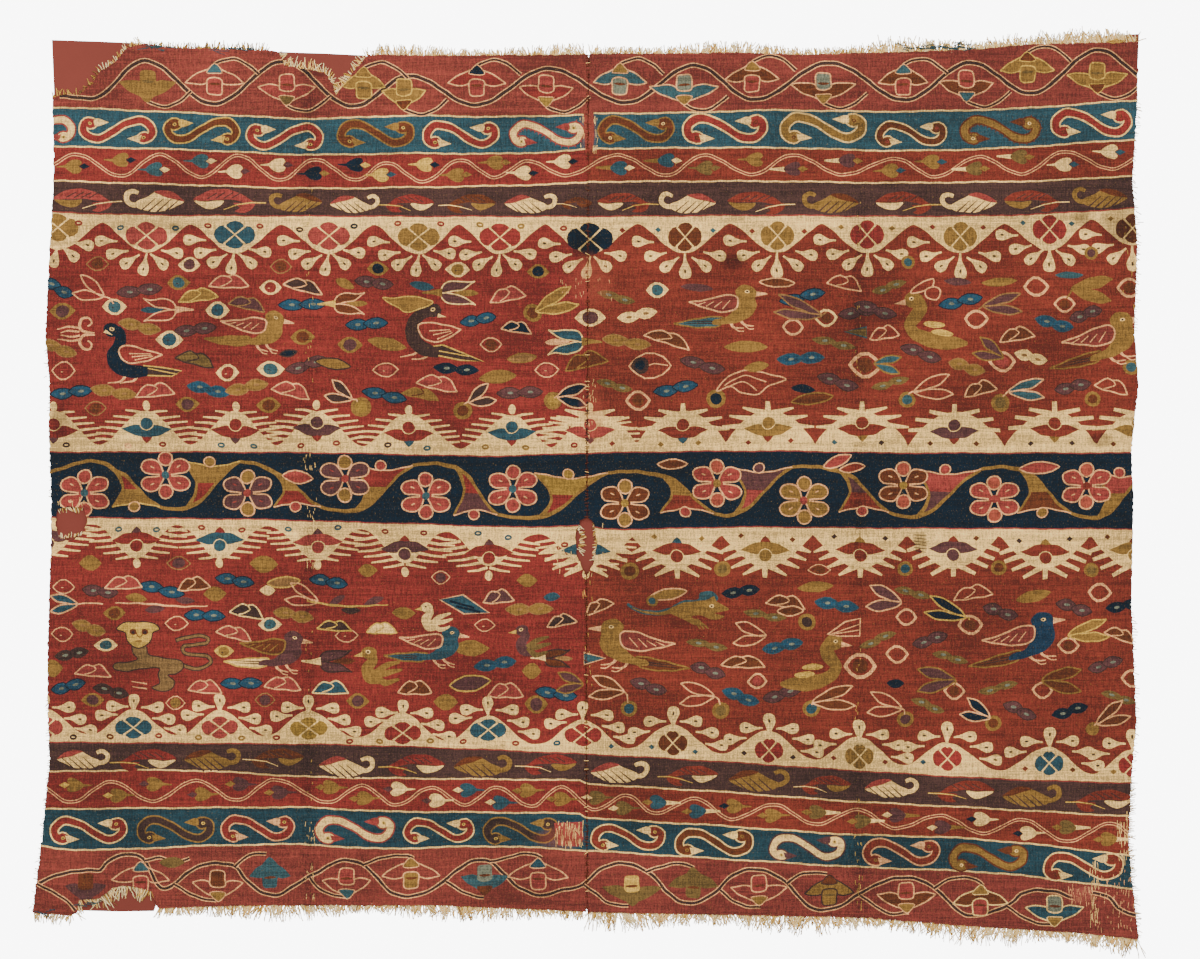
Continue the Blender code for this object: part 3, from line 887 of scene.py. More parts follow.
def lotus(x, y, dye, wedge, rise):
    """A lotus seen from the side: a round petal, two wings and a wedge below."""
    put = set_at(x, y, 1, 1, 0, rise)
    weave(wedge, put([(-7, 23), (7, 23), (3.5, 29), (0, 32), (-3.5, 29)]))
    for side in (1, -1):
        weave(dye, put(flow(np.array(LOTUS_WING) * (side, 1), step=3)))
    edged(dye, "cream", put(oval(0, 12.5, 13.5, 13)), 0.9)


def thin_spikes(x, y, rise):
    """The left weaver's spikes: a comb of thin lines on both sides of a mound, and a knob."""
    put = set_at(x, y, 1, 1, 0, rise)
    weave("cream", put(oval(0, -5, 7.5, 10)))
    for v, reach in ((0, 21), (5.5, 33), (11, 41), (16.5, 47), (22, 50), (27.5, 51)):
        for side in (1, -1):
            line = [(side * (1 + v), v + 3), (side * (1 + v + reach) / 2, v + 0.6),
                (side * reach, v - 0.6)]
            weave("cream", put(ribbon(line, [3.0, 2.5, 1.6])))


def stubby_spikes(x, y, rise, tips):
    """The right weaver's spikes: a few thick pegs on both sides of a mound, and one on top."""
    put = set_at(x, y, 1, 1, 0, rise)
    blunt = x > 900
    weave("cream", put(ribbon([(0, 6), (0, -9)], [5.4, 4.6] if blunt else [7, 4.2])))
    for i, (u, v) in enumerate(tips):
        for side in (1, -1):
            root = (side * (4 + 8.5 * i), 3 + 6.5 * i)
            weave("cream", put(ribbon([root, (side * u, v)], [5.2, 3.4] if blunt else [7.0, 2.0])))


between("cream", FEATHER_FOOT, mounds(SCALLOPS_TOP, FEATHER_FOOT, 8, 37, (0.72, 0.78)), step=2.5)
between("cream", mounds(SPIKES_TOP, NAVY_HEAD, -7, -41, (0.85, 0.4)), NAVY_HEAD, step=3)
between("cream", NAVY_FOOT, mounds(SPIKES_LOW, NAVY_FOOT, 7, 40, (1.1, 0.5)), step=3)
between("cream", mounds(SCALLOPS_LOW, LOW_CREAM_FOOT, -8, -34, (1.1, 0.95)), LOW_CREAM_FOOT, step=2.5)
DROPS = {
    "top": (((-44, 5), (-33, 18), (-20, 27), (-3, 32), (15, 27), (29, 17)),
            ((-46, 5), (-33, 19), (-18, 29), (0, 34), (19, 29), (33, 19))),
    "low": (((-31, -12), (-20, -21), (0, -26), (23, -20), (34, -8), (45, 3)),
            ((-38, -11), (-22, -22), (0, -28), (22, -22), (38, -11), (47, 2))),
}
for rows, side, rise, sizes in ((SCALLOPS_TOP, "top", 1, ((42, 27), (34, 29))),
        (SCALLOPS_LOW, "low", -1, ((37, 22), (29, 24)))):
    for x, y, dye in rows:
        right = x > SEAM_ACROSS + 5
        rosette(x, y, dye, *(sizes[right] if x != 590 else (46, 32)))
        for u, v in DROPS[side][right]:
            drop(x + u, y + v, x + 0.35 * u, y + (0.6 if side == "top" else 0.85) * v + 3 * rise, 1.06
                if right and u == 0 else 0.95)
for x, y, dye, wedge in SPIKES_TOP:
    if x < SEAM_ACROSS + 5:
        thin_spikes(x, y, 1)
    if x > SEAM_ACROSS:
        stubby_spikes(x, y, 1, ((25, -2), (39, 6), (46, 17)))
    lotus(x, y, dye, wedge, 1)
for x, y, dye, wedge in SPIKES_LOW:
    if x < SEAM_ACROSS:
        thin_spikes(x, y, -1)
    if x > SEAM_ACROSS - 5:
        stubby_spikes(x, y, -1, ((22, -7), (34, 0), (41, 8), (46, 16)))
    lotus(x, y, dye, wedge, -1)
for row in (
    (79, 223, "red"), (121, 228, "teal"), (176, 228, "teal"), (208, 226, "red"), (260, 226, "red"),
    (300, 230, "bark"), (354, 226, "navy"), (398, 224, "red"), (441, 224, "red"), (480, 225, "ochre"),
    (521, 226, "ochre"), (564, 229, "red"), (622, 231, "red"), (658, 230, "teal"), (713, 231, "teal"),
    (752, 231, "red"), (804, 232, "red"), (841, 227, "ochre"), (892, 229, "ochre"), (932, 227, "red"),
    (983, 228, "red"), (1023, 223, "teal"), (1071, 224, "teal"), (1110, 219, "ochre"),
    (67, 445, "bark"), (128, 446, "shell"), (163, 444, "red"), (222, 445, "teal"), (254, 446, "teal"),
    (301, 446, "red"), (337, 443, "red"), (388, 445, "bark"), (427, 448, "teal"), (486, 447, "ochre"),
    (526, 448, "ochre"), (574, 445, "red"), (612, 444, "red"), (661, 444, "ochre"), (698, 443, "ochre"),
    (748, 442, "red"), (791, 441, "red"), (834, 442, "teal"), (881, 443, "bark"), (930, 443, "rust"),
    (976, 444, "rust"), (1030, 444, "bark"), (1072, 443, "bark"), (1113, 444, "rust"),
    (119, 529, "teal"), (157, 530, "teal"), (202, 527, "red"), (242, 530, "red"), (289, 529, "teal"),
    (338, 528, "blue"), (385, 531, "red"), (424, 533, "red"), (478, 533, "blue"), (508, 538, "blue"),
    (565, 545, "red"), (654, 537, "ochre"), (702, 538, "ochre"), (741, 536, "rust"), (792, 539, "rust"),
    (834, 537, "bark"), (885, 538, "bark"), (976, 538, "rust"), (1019, 541, "bark"), (1069, 539, "bark"),
    (1107, 537, "rust"),
    (74, 737, "bark"), (111, 736, "rust"), (159, 736, "red"), (199, 737, "ochre"), (242, 738, "ochre"),
    (277, 737, "red"), (350, 741, "red"), (380, 741, "ochre"), (430, 741, "ochre"), (463, 741, "red"),
    (516, 743, "red"), (557, 743, "blue"), (611, 746, "blue"), (652, 747, "teal"), (695, 751, "teal"),
    (744, 753, "bark"), (793, 757, "bark"), (833, 758, "red"), (885, 762, "red"), (923, 762, "blue"),
    (1025, 768, "red"), (1072, 770, "rust"), (1113, 771, "ochre"),
):
    small_mark(*row)


# Tapestry, navy band. An ochre stem waves along it. At every bend it opens in a trumpet flower, and a
# six-petalled flower edged in cream fills the hollow.
between("navy", NAVY_HEAD, NAVY_FOOT)
for foot in (NAVY_HEAD, NAVY_FOOT, lambda x: FEATHER_FOOT(x) - 0.4, LOW_CREAM_FOOT):
    between("pink", lambda x: foot(x) - 0.7, lambda x: foot(x) + 0.7)
TRUMPETS = (
    (116, 471, 44, 36, "red", "ochre", "ochre"), (188, 508, 52, -47, "red", "ochre", "ochre"),
    (277, 474, 44, 33, "ochre", "red", "pink"), (357, 511, 56, -46, "ochre", "red", "pink"),
    (457, 468, 41, 47, "red", "violet", "pink"), (540, 517, 68, -44, "red", "gold", "gold"),
    (664, 476, 50, 37, "ochre", "red", "pink"), (735, 514, 57, -47, "pink", "violet", "violet"),
    (842, 472, 47, 40, "violet", "red", "pink"), (918, 517, 63, -48, "violet", "pink", "pink"),
    (1021, 470, 50, 43, "ochre", "rust", "ochre"), (1098, 518, 50, -46, "ochre", "pink", "pink"),
)
SIX_PETALS = (
    (85, 493, "pink", "teal", "pink"), (166, 475, "pink", "teal", "pink"),
    (248, 493, "violet", "pink", "ochre"), (345, 479, "violet", "pink", "ochre"),
    (426, 496, "pink", "teal", "pink"), (513, 489, "pink", "teal", "pink"),
    (625, 503, "rust", "gold", "ochre"), (717, 483, "pink", "ochre", "salmon"),
    (804, 500, "ochre", "pink", "ochre"), (903, 485, "rust", "gold", "salmon"),
    (994, 499, "pink", "pink", "salmon"), (1086, 486, "pink", "red", "salmon"),
)


def trumpet(x, y, w, h, deep, mouth, knob):
    """A flower that widens from the stem at x, y to a mouth this far across and down."""
    put = set_at(x, y)
    near = flow(put([(0, 0), (0.14 * w, 0.28 * h), (0.15 * w, 0.58 * h), (-0.08 * w, h)]), False)
    far = flow(put([(0, 0), (0.26 * w, 0.16 * h), (0.5 * w, 0.46 * h), (0.75 * w, 0.78 * h), (w, h)]),
        False)
    rim = flow(put([(-0.08 * w, h), (0.2 * w, 0.93 * h), (0.45 * w, 0.88 * h), (0.72 * w, 0.92 * h),
        (w, h)]), False)
    weave(deep, np.concatenate([near, rim[1:], far[::-1]]))
    half = len(near) // 2
    weave(mouth, np.concatenate([near[half:], rim[1:], far[:len(far) // 2:-1]]))
    weave("ochre", ribbon(near, [4.5, 2.4, 2.0]))
    weave("ochre", ribbon(far, [4.5, 2.6, 3.2]))
    weave("shell" if mouth != "ochre" else "straw", ribbon(rim, 1.4))
    edged(knob, "shell", put(oval(0.42 * w, 0.98 * h, 11, 10)), 1.3)


def six_petalled(x, y, petals, middle, small):
    """A flower of four large petals and two small, each edged in cream."""
    for v in (-1, 1):
        edged(small, "shell", oval(x, y + v * 16.5, 14, 14), 1.5)
    for u in (-1, 1):
        for v in (-1, 1):
            edged(petals, "shell", flow([(x + u * a, y + v * b) for a, b in (
                (2, 1.5), (7, 13), (14, 16), (22, 13.5), (24, 8), (20, 2.5), (10, 1.2))], step=3), 1.5)
            weave("shell" if petals != "violet" else "pink", oval(x + u * 13, y + v * 8.5, 5, 1.6, u * v
                * 25, 6))
    weave(petals, oval(x, y, 12, 7))
    weave(middle, oval(x, y, 8, 8))


weave("ochre", ribbon(flow([(40, 476), (68, 466), (87, 461), (103, 463), (116, 471)], False),
    [3, 3.4, 3.4, 4.5]))
for (x, y, w, h, *_), (next_x, next_y, *_) in zip(TRUMPETS, TRUMPETS[1:]):
    bend = (x + w + next_x) / 2
    weave("ochre", ribbon(flow([(x + w, y + h), (bend, (y + h + next_y) / 2 + (2 if h > 0 else -3)),
        (next_x, next_y)], False), [3.2, 3.4, 4.5]))
for row in TRUMPETS:
    trumpet(*row)
for row in SIX_PETALS:
    six_petalled(*row)
for x, y, wide, high, tilt, dye in ((298, 477, 30, 13, 5, "pink"), (672, 464, 30, 10, 0, "rust"),
        (837, 461, 30, 11, -22, "pink"), (852, 468, 26, 9, -8, "red"), (1039, 468, 40, 12, -4, "pink")):
    edged(dye, "shell", almond(x, y, wide, high, tilt), 1.4)


# Tapestry, red fields. Seeds, pods, berries and split leaves are scattered all over them, and birds and
# beasts stand among them. No two are quite alike, as they were woven freely and not from a chart.
GROUND = "red"


def eye(x, y, edge, dot, wide=20, high=15):
    """A pointed fruit with a dot in it. Some show the ground between."""
    weave(edge, almond(x, y, wide * 1.14, high * 1.04, 0, 1.5))
    if edge in ("shell", "clay"):
        weave(GROUND, almond(x, y, wide * 0.98, high * 0.86, 0, 1.3))
    if dot:
        weave(dot, oval(x, y, wide * 0.6, high * 0.74))
        weave("shell" if dot in ("red", "pink") else "bark", oval(x - 1.5, y + 1, 2.6, 1.1, 0, 6))


def pods(x0, y0, x1, y1, dye):
    """Two pods end to end, each with a glint."""
    lean = math.degrees(math.atan2(y1 - y0, x1 - x0)) * 0.5
    long = math.hypot(x1 - x0, y1 - y0) * 0.95 + 7
    rim = {"violet": "bark", "blue": "navy", "teal": "blue", "ochre": "clay"}.get(dye)
    for x, y in ((x0, y0), (x1, y1)):
        edged({"teal": "sky", "blue": "sky"}.get(dye, dye), rim, almond(x, y, long, 8.5 if dye == "olive"
            else 11.5, lean, 1.1), 1.0)
        weave("sea" if dye not in ("cream", "ochre") else "clay", oval(x + 0.5, y, 6.0, 2.8, lean, 8))


SEED = ((-20, 5), (-20, 5), (-13, -2), (-7, -5), (-1, -4), (5, -6), (12, -3), (20, 5), (20, 5), (11, 6),
    (0, 6), (-11, 6))


def seed(x, y, tilt, fill, edge="shell", wide=38, high=13, flip=1):
    """A seed of two lobes, edged, and parted by a slanting line."""
    put = set_at(x, y, flip, 1, tilt)
    shape = np.array(SEED) * (wide / 40.0, high / 12.0)
    fill = "pink" if fill in (None, "red") and x < SEAM_ACROSS else fill
    edged(fill, edge, put(flow(shape, step=2.5)), 1.5)
    part = np.array([(-1, -4), (3, -1), (-2, 2.5), (-9, 5)]) * (wide / 40.0, high / 12.0)
    weave(edge or "rust", ribbon(flow(put(part), False), 1.2))


def leaf(x, y, wide, high, tilt, dye, edge=None):
    """A plain leaf."""
    edged(dye, edge, almond(x, y, wide, high, tilt, 0.8), 1.5)


def berry(x, y, edge, dot, size=17):
    """A round berry in a ring. A pale ring is pointed and shows the ground."""
    pale = edge in ("shell", "clay", "cream")
    weave(edge, almond(x, y, size * 1.3, size * 1.05, 0, 1.3) if pale else oval(x, y, size, size * 0.95))
    if pale:
        weave(GROUND, almond(x, y, size * 0.98, size * 0.76, 0, 1.1))
    if dot:
        weave(dot, oval(x, y, size * 0.6, size * 0.58))


def fork(x, y, turn, fill, edge, long=34, spread=11, stalk=None):
    """A leaf split in two, from its foot at x, y towards turn, on a stalk that runs to a berry."""
    put = set_at(x, y, 1, 1, turn)
    for side in (1, -1):
        tip = (long, side * spread)
        lobe = [(0, 0), (long * 0.3, side * spread * 0.8), (long * 0.68, side * spread * 1.2), tip, tip,
            (long * 0.74, side * spread * 0.3), (long * 0.42, side * 0.6)]
        edged(fill, edge, put(flow(lobe, step=2.8)), 1.5)
    if stalk:
        weave(edge, ribbon(flow([stalk, ((x + stalk[0]) / 2 + 1.5, (y + stalk[1]) / 2 - 1.5), (x, y)],
            False), 1.5))


def tulip(x, y, flip, petals, edge, tongue, foot, size=1.0):
    """A tulip lying on its side: two outer petals, a tongue and a foot."""
    put = set_at(x, y, flip, size)
    for side in (1, -1):
        petal = [(-10, 0), (-7, side * 8), (3, side * 11), (16, side * 10), (22, side * 11.5),
            (22, side * 11.5), (12, side * 4), (2, side * 1.5)]
        edged(petals, edge, put(flow(petal, step=2.8)), 1.4)
    weave(foot, put([(-28, 0.8), (-28, -0.8), (-18, -2), (-9, -4), (-9, 4), (-18, 2)]))
    weave(tongue, put(flow([(2, 0), (8, -2), (18, -3), (25, 0), (18, 3), (8, 2)], step=3)))


for row in (
    (98, 264, "clay", "rust"), (190, 265, "cream", "violet"), (281, 267, "clay", "rust"),
    (115, 307, "cream", "teal", 22, 16), (179, 283, "ochre", "teal"), (271, 288, "cream", "red"),
    (218, 310, "cream", "blue", 22, 17), (63, 311, "ochre", "violet", 23, 17),
    (170, 340, "cream", "blue", 24, 18), (303, 337, "ochre", "rust", 22, 16),
    (64, 371, "shell", "red", 22, 19), (228, 373, "cream", "red", 21, 17),
    (271, 369, "cream", "teal", 25, 16), (96, 408, "clay", "rust"), (188, 404, "ochre", "violet", 21, 15),
    (269, 405, "ochre", "rust", 22, 16), (378, 269, "ochre", "navy", 19, 14),
    (458, 270, "cream", "ochre", 22, 15), (538, 272, "ochre", "navy", 20, 14),
    (590, 318, "cream", "violet", 28, 18), (350, 345, "ochre", "violet", 22, 16),
    (491, 345, "shell", "rust", 20, 15), (386, 370, "shell", "pink", 24, 15),
    (547, 370, "shell", "pink", 22, 16), (657, 290, "cream", "teal", 20, 16), (91, 563, "ochre", None),
    (179, 563, "clay", "violet", 22, 14), (264, 564, "ochre", None, 25, 17), (64, 587, "shell", "red"),
    (115, 613, "ochre", "rust", 20, 14), (215, 594, "ochre", None, 20, 15),
    (177, 623, "shell", "red", 22, 15), (270, 624, "cream", "teal", 21, 14),
    (63, 634, "shell", "red", 20, 15), (106, 645, "cream", "teal", 21, 13),
    (224, 651, "straw", "ochre", 18, 12), (53, 668, "ochre", None, 18, 17),
    (93, 700, "ochre", "violet", 20, 14), (176, 703, "shell", "ochre", 18, 14),
    (265, 700, "clay", "violet", 19, 14), (368, 570, "ochre", None, 17, 13),
    (441, 577, "shell", "violet", 17, 14), (527, 580, "ochre", None, 18, 13),
    (404, 613, "ochre", None, 21, 12), (485, 625, "shell", "red", 19, 13),
    (347, 635, "shell", "red", 21, 15), (471, 648, "ochre", None, 33, 16),
    (358, 701, "ochre", "violet", 20, 15), (446, 702, "ochre", None, 22, 16),
    (536, 704, "ochre", "violet", 21, 18), (532, 671, "ochre", None, 17, 16),
    (819, 570, "shell", "rust", 21, 11), (268, 590, "cream", None, 14, 10),
):
    eye(*row)
for row in (
    (52, 284, 64, 292, "blue"), (130, 292, 150, 289, "violet"), (292, 305, 313, 304, "blue"),
    (131, 324, 149, 329, "ochre"), (187, 331, 205, 328, "violet"), (51, 345, 66, 352, "ochre"),
    (298, 368, 316, 362, "violet"), (63, 394, 81, 391, "blue"), (104, 390, 124, 394, "ochre"),
    (200, 387, 218, 392, "teal"), (238, 390, 256, 385, "ochre"), (366, 282, 382, 284, "violet"),
    (358, 325, 376, 323, "blue"), (471, 321, 486, 318, "blue"), (446, 368, 466, 370, "navy"),
    (375, 393, 394, 398, "blue"), (510, 393, 530, 392, "violet"), (608, 295, 624, 300, "olive"),
    (629, 317, 646, 313, "cream"), (792, 300, 812, 294, "blue"), (850, 314, 867, 310, "violet"),
    (616, 340, 637, 344, "ochre"), (824, 341, 843, 346, "olive"), (693, 362, 712, 368, "violet"),
    (790, 359, 811, 358, "teal"), (607, 383, 622, 388, "olive"), (666, 391, 685, 386, "blue"),
    (829, 379, 846, 385, "violet"), (882, 290, 896, 284, "olive"), (866, 307, 884, 313, "violet"),
    (951, 304, 970, 299, "blue"), (1046, 321, 1062, 326, "teal"), (1079, 317, 1092, 312, "violet"),
    (912, 350, 929, 357, "violet"), (1024, 355, 1037, 359, "cream"), (959, 364, 974, 370, "ochre"),
    (882, 386, 898, 381, "olive"), (1065, 389, 1080, 385, "violet"), (93, 590, 108, 592, "violet"),
    (152, 587, 172, 592, "blue"), (227, 579, 243, 582, "blue"), (196, 615, 214, 616, "blue"),
    (285, 613, 302, 617, "ochre"), (83, 625, 96, 630, "ochre"), (65, 655, 79, 652, "bark"),
    (62, 688, 76, 684, "blue"), (104, 689, 119, 693, "bark"), (233, 683, 251, 683, "blue"),
    (321, 580, 337, 583, "blue"), (519, 609, 540, 609, "ochre"), (486, 665, 504, 662, "teal"),
    (547, 692, 565, 695, "blue"), (733, 593, 749, 590, "navy"), (755, 613, 774, 617, "olive"),
    (827, 603, 846, 606, "teal"), (698, 643, 716, 647, "olive"), (774, 648, 791, 644, "teal"),
    (701, 668, 715, 673, "violet"), (641, 683, 656, 689, "violet"), (733, 693, 748, 700, "teal"),
    (774, 697, 790, 691, "violet"), (905, 591, 920, 595, "olive"), (993, 609, 1007, 614, "violet"),
    (1066, 605, 1081, 610, "violet"), (1116, 607, 1132, 604, "navy"), (870, 644, 885, 636, "olive"),
    (923, 642, 937, 637, "violet"), (942, 655, 957, 660, "olive"), (1098, 667, 1112, 662, "violet"),
    (989, 690, 1006, 685, "olive"), (1111, 695, 1125, 700, "olive"), (921, 702, 934, 709, "olive"),
    (1013, 707, 1026, 714, "violet"), (1062, 713, 1077, 708, "navy"),
):
    pods(*row)
for row in (
    (229, 281, 0, None, "shell", 40, 13), (304, 285, 14, "bark", "shell", 40, 12),
    (198, 295, -8, "ochre", "straw", 40, 12), (248, 303, 14, "violet", "clay", 38, 12),
    (155, 390, -6, None, "shell", 40, 13), (292, 389, 16, None, "shell", 40, 14),
    (507, 294, -10, None, "shell", 36, 14), (585, 360, -14, "rust", "ochre", 44, 15),
    (438, 382, 12, None, "shell", 42, 14), (517, 327, 8, "navy", "shell", 30, 11),
    (421, 393, 10, "ochre", None, 40, 11), (845, 282, 14, None, "shell", 36, 13),
    (668, 338, 18, "rust", "shell", 48, 12), (884, 332, -8, None, "shell", 30, 13),
    (1016, 334, -10, "rust", "shell", 36, 13), (979, 388, -14, "rust", "shell", 34, 13),
    (1112, 385, 16, None, "shell", 34, 13), (196, 358, 14, "olive", "bark", 40, 13),
    (124, 582, 0, None, "shell", 38, 13), (194, 583, -4, "rust", "shell", 32, 13),
    (235, 632, 14, None, "shell", 36, 12), (248, 610, 10, "bark", "cream", 34, 13),
    (94, 670, 6, None, "shell", 36, 12), (206, 686, 4, None, "shell", 34, 13),
    (283, 683, 4, None, "shell", 37, 13), (331, 687, 2, "blue", "cream", 37, 13),
    (415, 687, 2, "rust", "shell", 34, 14), (506, 690, 2, None, "shell", 35, 15),
    (498, 596, -6, "violet", "shell", 31, 13), (335, 625, 4, "bark", "straw", 35, 10),
    (382, 628, 0, "cream", "straw", 30, 11), (598, 605, -22, "rust", "shell", 30, 11),
    (743, 661, 2, "rust", "shell", 44, 12), (972, 592, -8, None, "shell", 40, 13),
    (1120, 634, 22, "rust", "shell", 32, 11), (561, 620, -12, "bark", "shell", 30, 11),
    (786, 601, 10, "rust", "shell", 40, 12),
):
    seed(*row)
for row in (
    (697, 288, 34, 8, 4, "violet"), (345, 284, 20, 10, 25, "ochre"), (422, 286, 26, 9, 12, "blue"),
    (387, 344, 40, 13, 12, "ochre"), (522, 358, 29, 9, -6, "clay", "ochre"),
    (498, 377, 38, 14, -6, "ochre"), (172, 862, 26, 11, 0, "olive"),
    (777, 283, 35, 9, 2, "rust", "shell"), (746, 347, 44, 12, 0, "ochre"), (957, 282, 28, 8, 2, "violet"),
    (999, 282, 36, 9, -3, "ochre"), (1069, 275, 28, 7, 0, "teal"), (803, 389, 24, 9, 8, "navy"),
    (812, 399, 42, 11, -8, "rust", "ochre"), (289, 353, 17, 7, -10, "navy", "bark"),
    (333, 364, 36, 11, 8, "ochre", "bark"), (284, 582, 34, 11, -4, "clay", "straw"),
    (137, 598, 22, 9, 8, "ochre"), (155, 609, 20, 8, -6, "violet"), (185, 600, 20, 7, 6, "violet"),
    (337, 600, 19, 7, -32, "violet"), (374, 601, 21, 8, -20, "violet"), (351, 610, 20, 7, 4, "bark"),
    (552, 597, 17, 9, 0, "blue"), (668, 594, 38, 11, -10, "ochre", "shell"),
    (815, 587, 36, 11, -4, "ochre"), (1033, 596, 36, 12, -12, "ochre"), (895, 683, 18, 9, 0, "navy"),
    (790, 611, 26, 10, 0, "rust", "shell"),
):
    leaf(*row)
for row in (
    (793, 327, "shell", "red"), (826, 318, "cream", "rust", 18), (716, 399, "ochre", "navy", 20),
    (640, 366, "bark", "navy", 18), (638, 401, "shell", "rust", 20), (865, 365, "shell", "rust", 26),
    (908, 262, "ochre", "teal", 14), (1091, 253, "ochre", "violet", 14), (1036, 287, "shell", "red", 20),
    (1064, 304, "shell", "rust", 17), (1129, 288, "shell", "rust", 20), (976, 319, "shell", "red", 19),
    (1002, 362, "shell", "pink", 21), (907, 400, "ochre", "teal", 17), (1000, 403, "ochre", "olive", 19),
    (1092, 399, "ochre", "rust", 16), (1131, 367, "ochre", "teal", 17), (630, 571, "ochre", "rust", 19),
    (722, 569, "ochre", "olive", 17), (905, 569, "ochre", "blue", 16), (998, 568, "ochre", "rust", 16),
    (1091, 570, "ochre", "olive", 15), (906, 617, "shell", "red", 17), (1099, 592, "shell", "red", 19),
    (970, 625, "shell", "rust", 20), (1068, 645, "shell", "rust", 17), (897, 654, "shell", "red", 18),
    (860, 666, "shell", "rust", 26), (807, 622, "ochre", "bark", 18), (757, 681, "shell", "pink", 16),
    (629, 708, "ochre", "blue", 17), (721, 710, "ochre", "olive", 18), (811, 708, "ochre", "blue", 18),
    (954, 691, "shell", "rust", 17), (1042, 690, "shell", "red", 17), (905, 719, "ochre", "violet", 17),
    (993, 723, "ochre", "rust", 17), (1092, 729, "ochre", "ochre", 14), (1132, 678, "shell", "rust", 18),
    (652, 601, "ochre", "teal", 12), (361, 407, "ochre", "gold", 21), (463, 411, "ochre", "rust", 19),
    (553, 401, "ochre", "gold", 19), (533, 313, "ochre", "rust", 19),
):
    berry(*row)
for row in (
    (104, 297, 205, None, "shell", 30, 10, (114, 304)), (352, 399, 205, "bark", "shell", 26, 9,
    (358, 402)), (469, 403, -25, "bark", "shell", 26, 9, (464, 405)),
    (557, 397, -2, "navy", "shell", 30, 10, (554, 398)), (536, 311, -22, "ochre", "straw", 42, 10),
    (822, 316, 195, "violet", "clay", 48, 9, (826, 312)), (874, 363, 6, "teal", "ochre", 26, 8),
    (983, 306, -4, "violet", "clay", 38, 9, (978, 310)), (1003, 358, 205, "violet", "ochre", 30, 9),
    (914, 392, -12, None, "shell", 38, 10, (908, 395)), (1008, 391, -4, "teal", "shell", 36, 9,
    (1002, 397)), (1071, 289, 2, "ochre", "ochre", 40, 11, (1066, 298)),
    (901, 603, 192, "violet", "shell", 34, 11), (966, 618, 200, "navy", "straw", 42, 9, (969, 620)),
    (1068, 635, -10, "ochre", "straw", 40, 9, (1067, 639)), (955, 680, 180, "violet", "ochre", 38, 11,
    (954, 686)), (1041, 680, 0, "rust", "ochre", 40, 11, (1042, 684)),
    (902, 708, 190, None, "shell", 34, 10, (904, 714)), (990, 718, 205, "navy", "shell", 30, 9),
    (1096, 724, -28, "rust", "shell", 34, 9, (1093, 726)), (624, 691, 188, "rust", "shell", 34, 10,
    (628, 702)), (714, 696, 184, None, "shell", 34, 10, (720, 704)),
    (812, 702, -8, "rust", "shell", 42, 10, (811, 704)), (766, 636, 186, None, "shell", 32, 10),
    (318, 602, 200, None, "shell", 32, 9), (583, 684, 186, "violet", "ochre", 26, 9),
    (78, 604, 180, "blue", "shell", 28, 8, (104, 604)),
):
    fork(*row)
for row in (
    (166, 310, -1, None, "shell", "blue", "shell", 1.0), (344, 304, 1, "rust", "shell", "ochre", "straw",
    0.95), (452, 293, 1, "violet", "cream", "ochre", "ochre", 1.05),
    (572, 342, -1, "blue", "cream", "shell", "ochre", 1.1), (330, 661, 1, "violet", "bark", "rust",
    "cream", 1.0), (553, 658, 1, "rust", "bark", "clay", "cream", 0.8),
):
    tulip(*row)


# Tapestry, birds and beasts. Each is drawn in its own few yarns, with a dark edge here and there.
def stroke(dye, points, width):
    """A smooth line of yarn."""
    weave(dye, ribbon(flow(points, False), width))


def legs(put, roots, dye="shell", reach=10):
    """Thin legs with spread toes."""
    for u, v in roots:
        stroke(dye, put([(u, v), (u + 4, v + reach * 0.6), (u + reach + 4, v + reach * 0.75)]),
            [3.4, 1.8, 1.0])
        stroke(dye, put([(u + 4, v + reach * 0.6), (u + 9, v + reach * 1.1), (u + 14, v + reach * 1.1)]),
            [1.3, 1.0])


def head_eye(put, u, v, dark="bark"):
    """A beast's eye: pale with a dark middle."""
    weave("cream", put(oval(u, v, 5, 4, 0, 8)))
    weave(dark, put(oval(u, v, 2.4, 2.2, 0, 6)))


SONG_BODY = ((-10, -4), (-3, -10), (6, -8), (10, -1), (9, 7), (10, 17), (5, 28), (-6, 35), (-20, 38),
    (-34, 38), (-32, 32), (-20, 29), (-14, 22), (-11, 12), (-10, 3))
SONG_TAIL = ((-24, 29), (-46, 31), (-72, 38), (-72, 38), (-52, 42), (-28, 40))
SONG_WING = ((-11, 3), (-8, 10), (-11, 19), (-22, 23), (-36, 20), (-57, 12), (-57, 12), (-38, 8),
    (-24, 3))


def songbird(x, y, flip, tilt, size, body, tail, wing, edge="shell"):
    """A perching bird with a long tail, its wing edged and barred."""
    put = set_at(x, y, flip, size, tilt, 0.82)
    edged(tail, "ochre" if tail != "cream" else "straw", put(flow(SONG_TAIL)), 1.6)
    for v in (35, 37.5) if tail != body or tail == "blue" else ():
        weave("bark", put(ribbon([(-30, v - 1), (-60, v + 0.5)], [1.6, 0.6])))
    legs(put, ((-16, 36), (-6, 33)))
    weave("shell", put([(7, -3), (21, 1), (21, 2.5), (8, 5)]))
    weave(body, put(flow(SONG_BODY)))
    edged("rose" if wing == "pink" else wing, edge, put(flow(SONG_WING)), 1.7)
    for i in range(4):
        weave(edge, put(ribbon([(-16 - 8 * i, 9 + 0.8 * i), (-24 - 8 * i, 19 - 1.4 * i)], [0.8, 1.2])))
    head_eye(put, 1, -1.5)


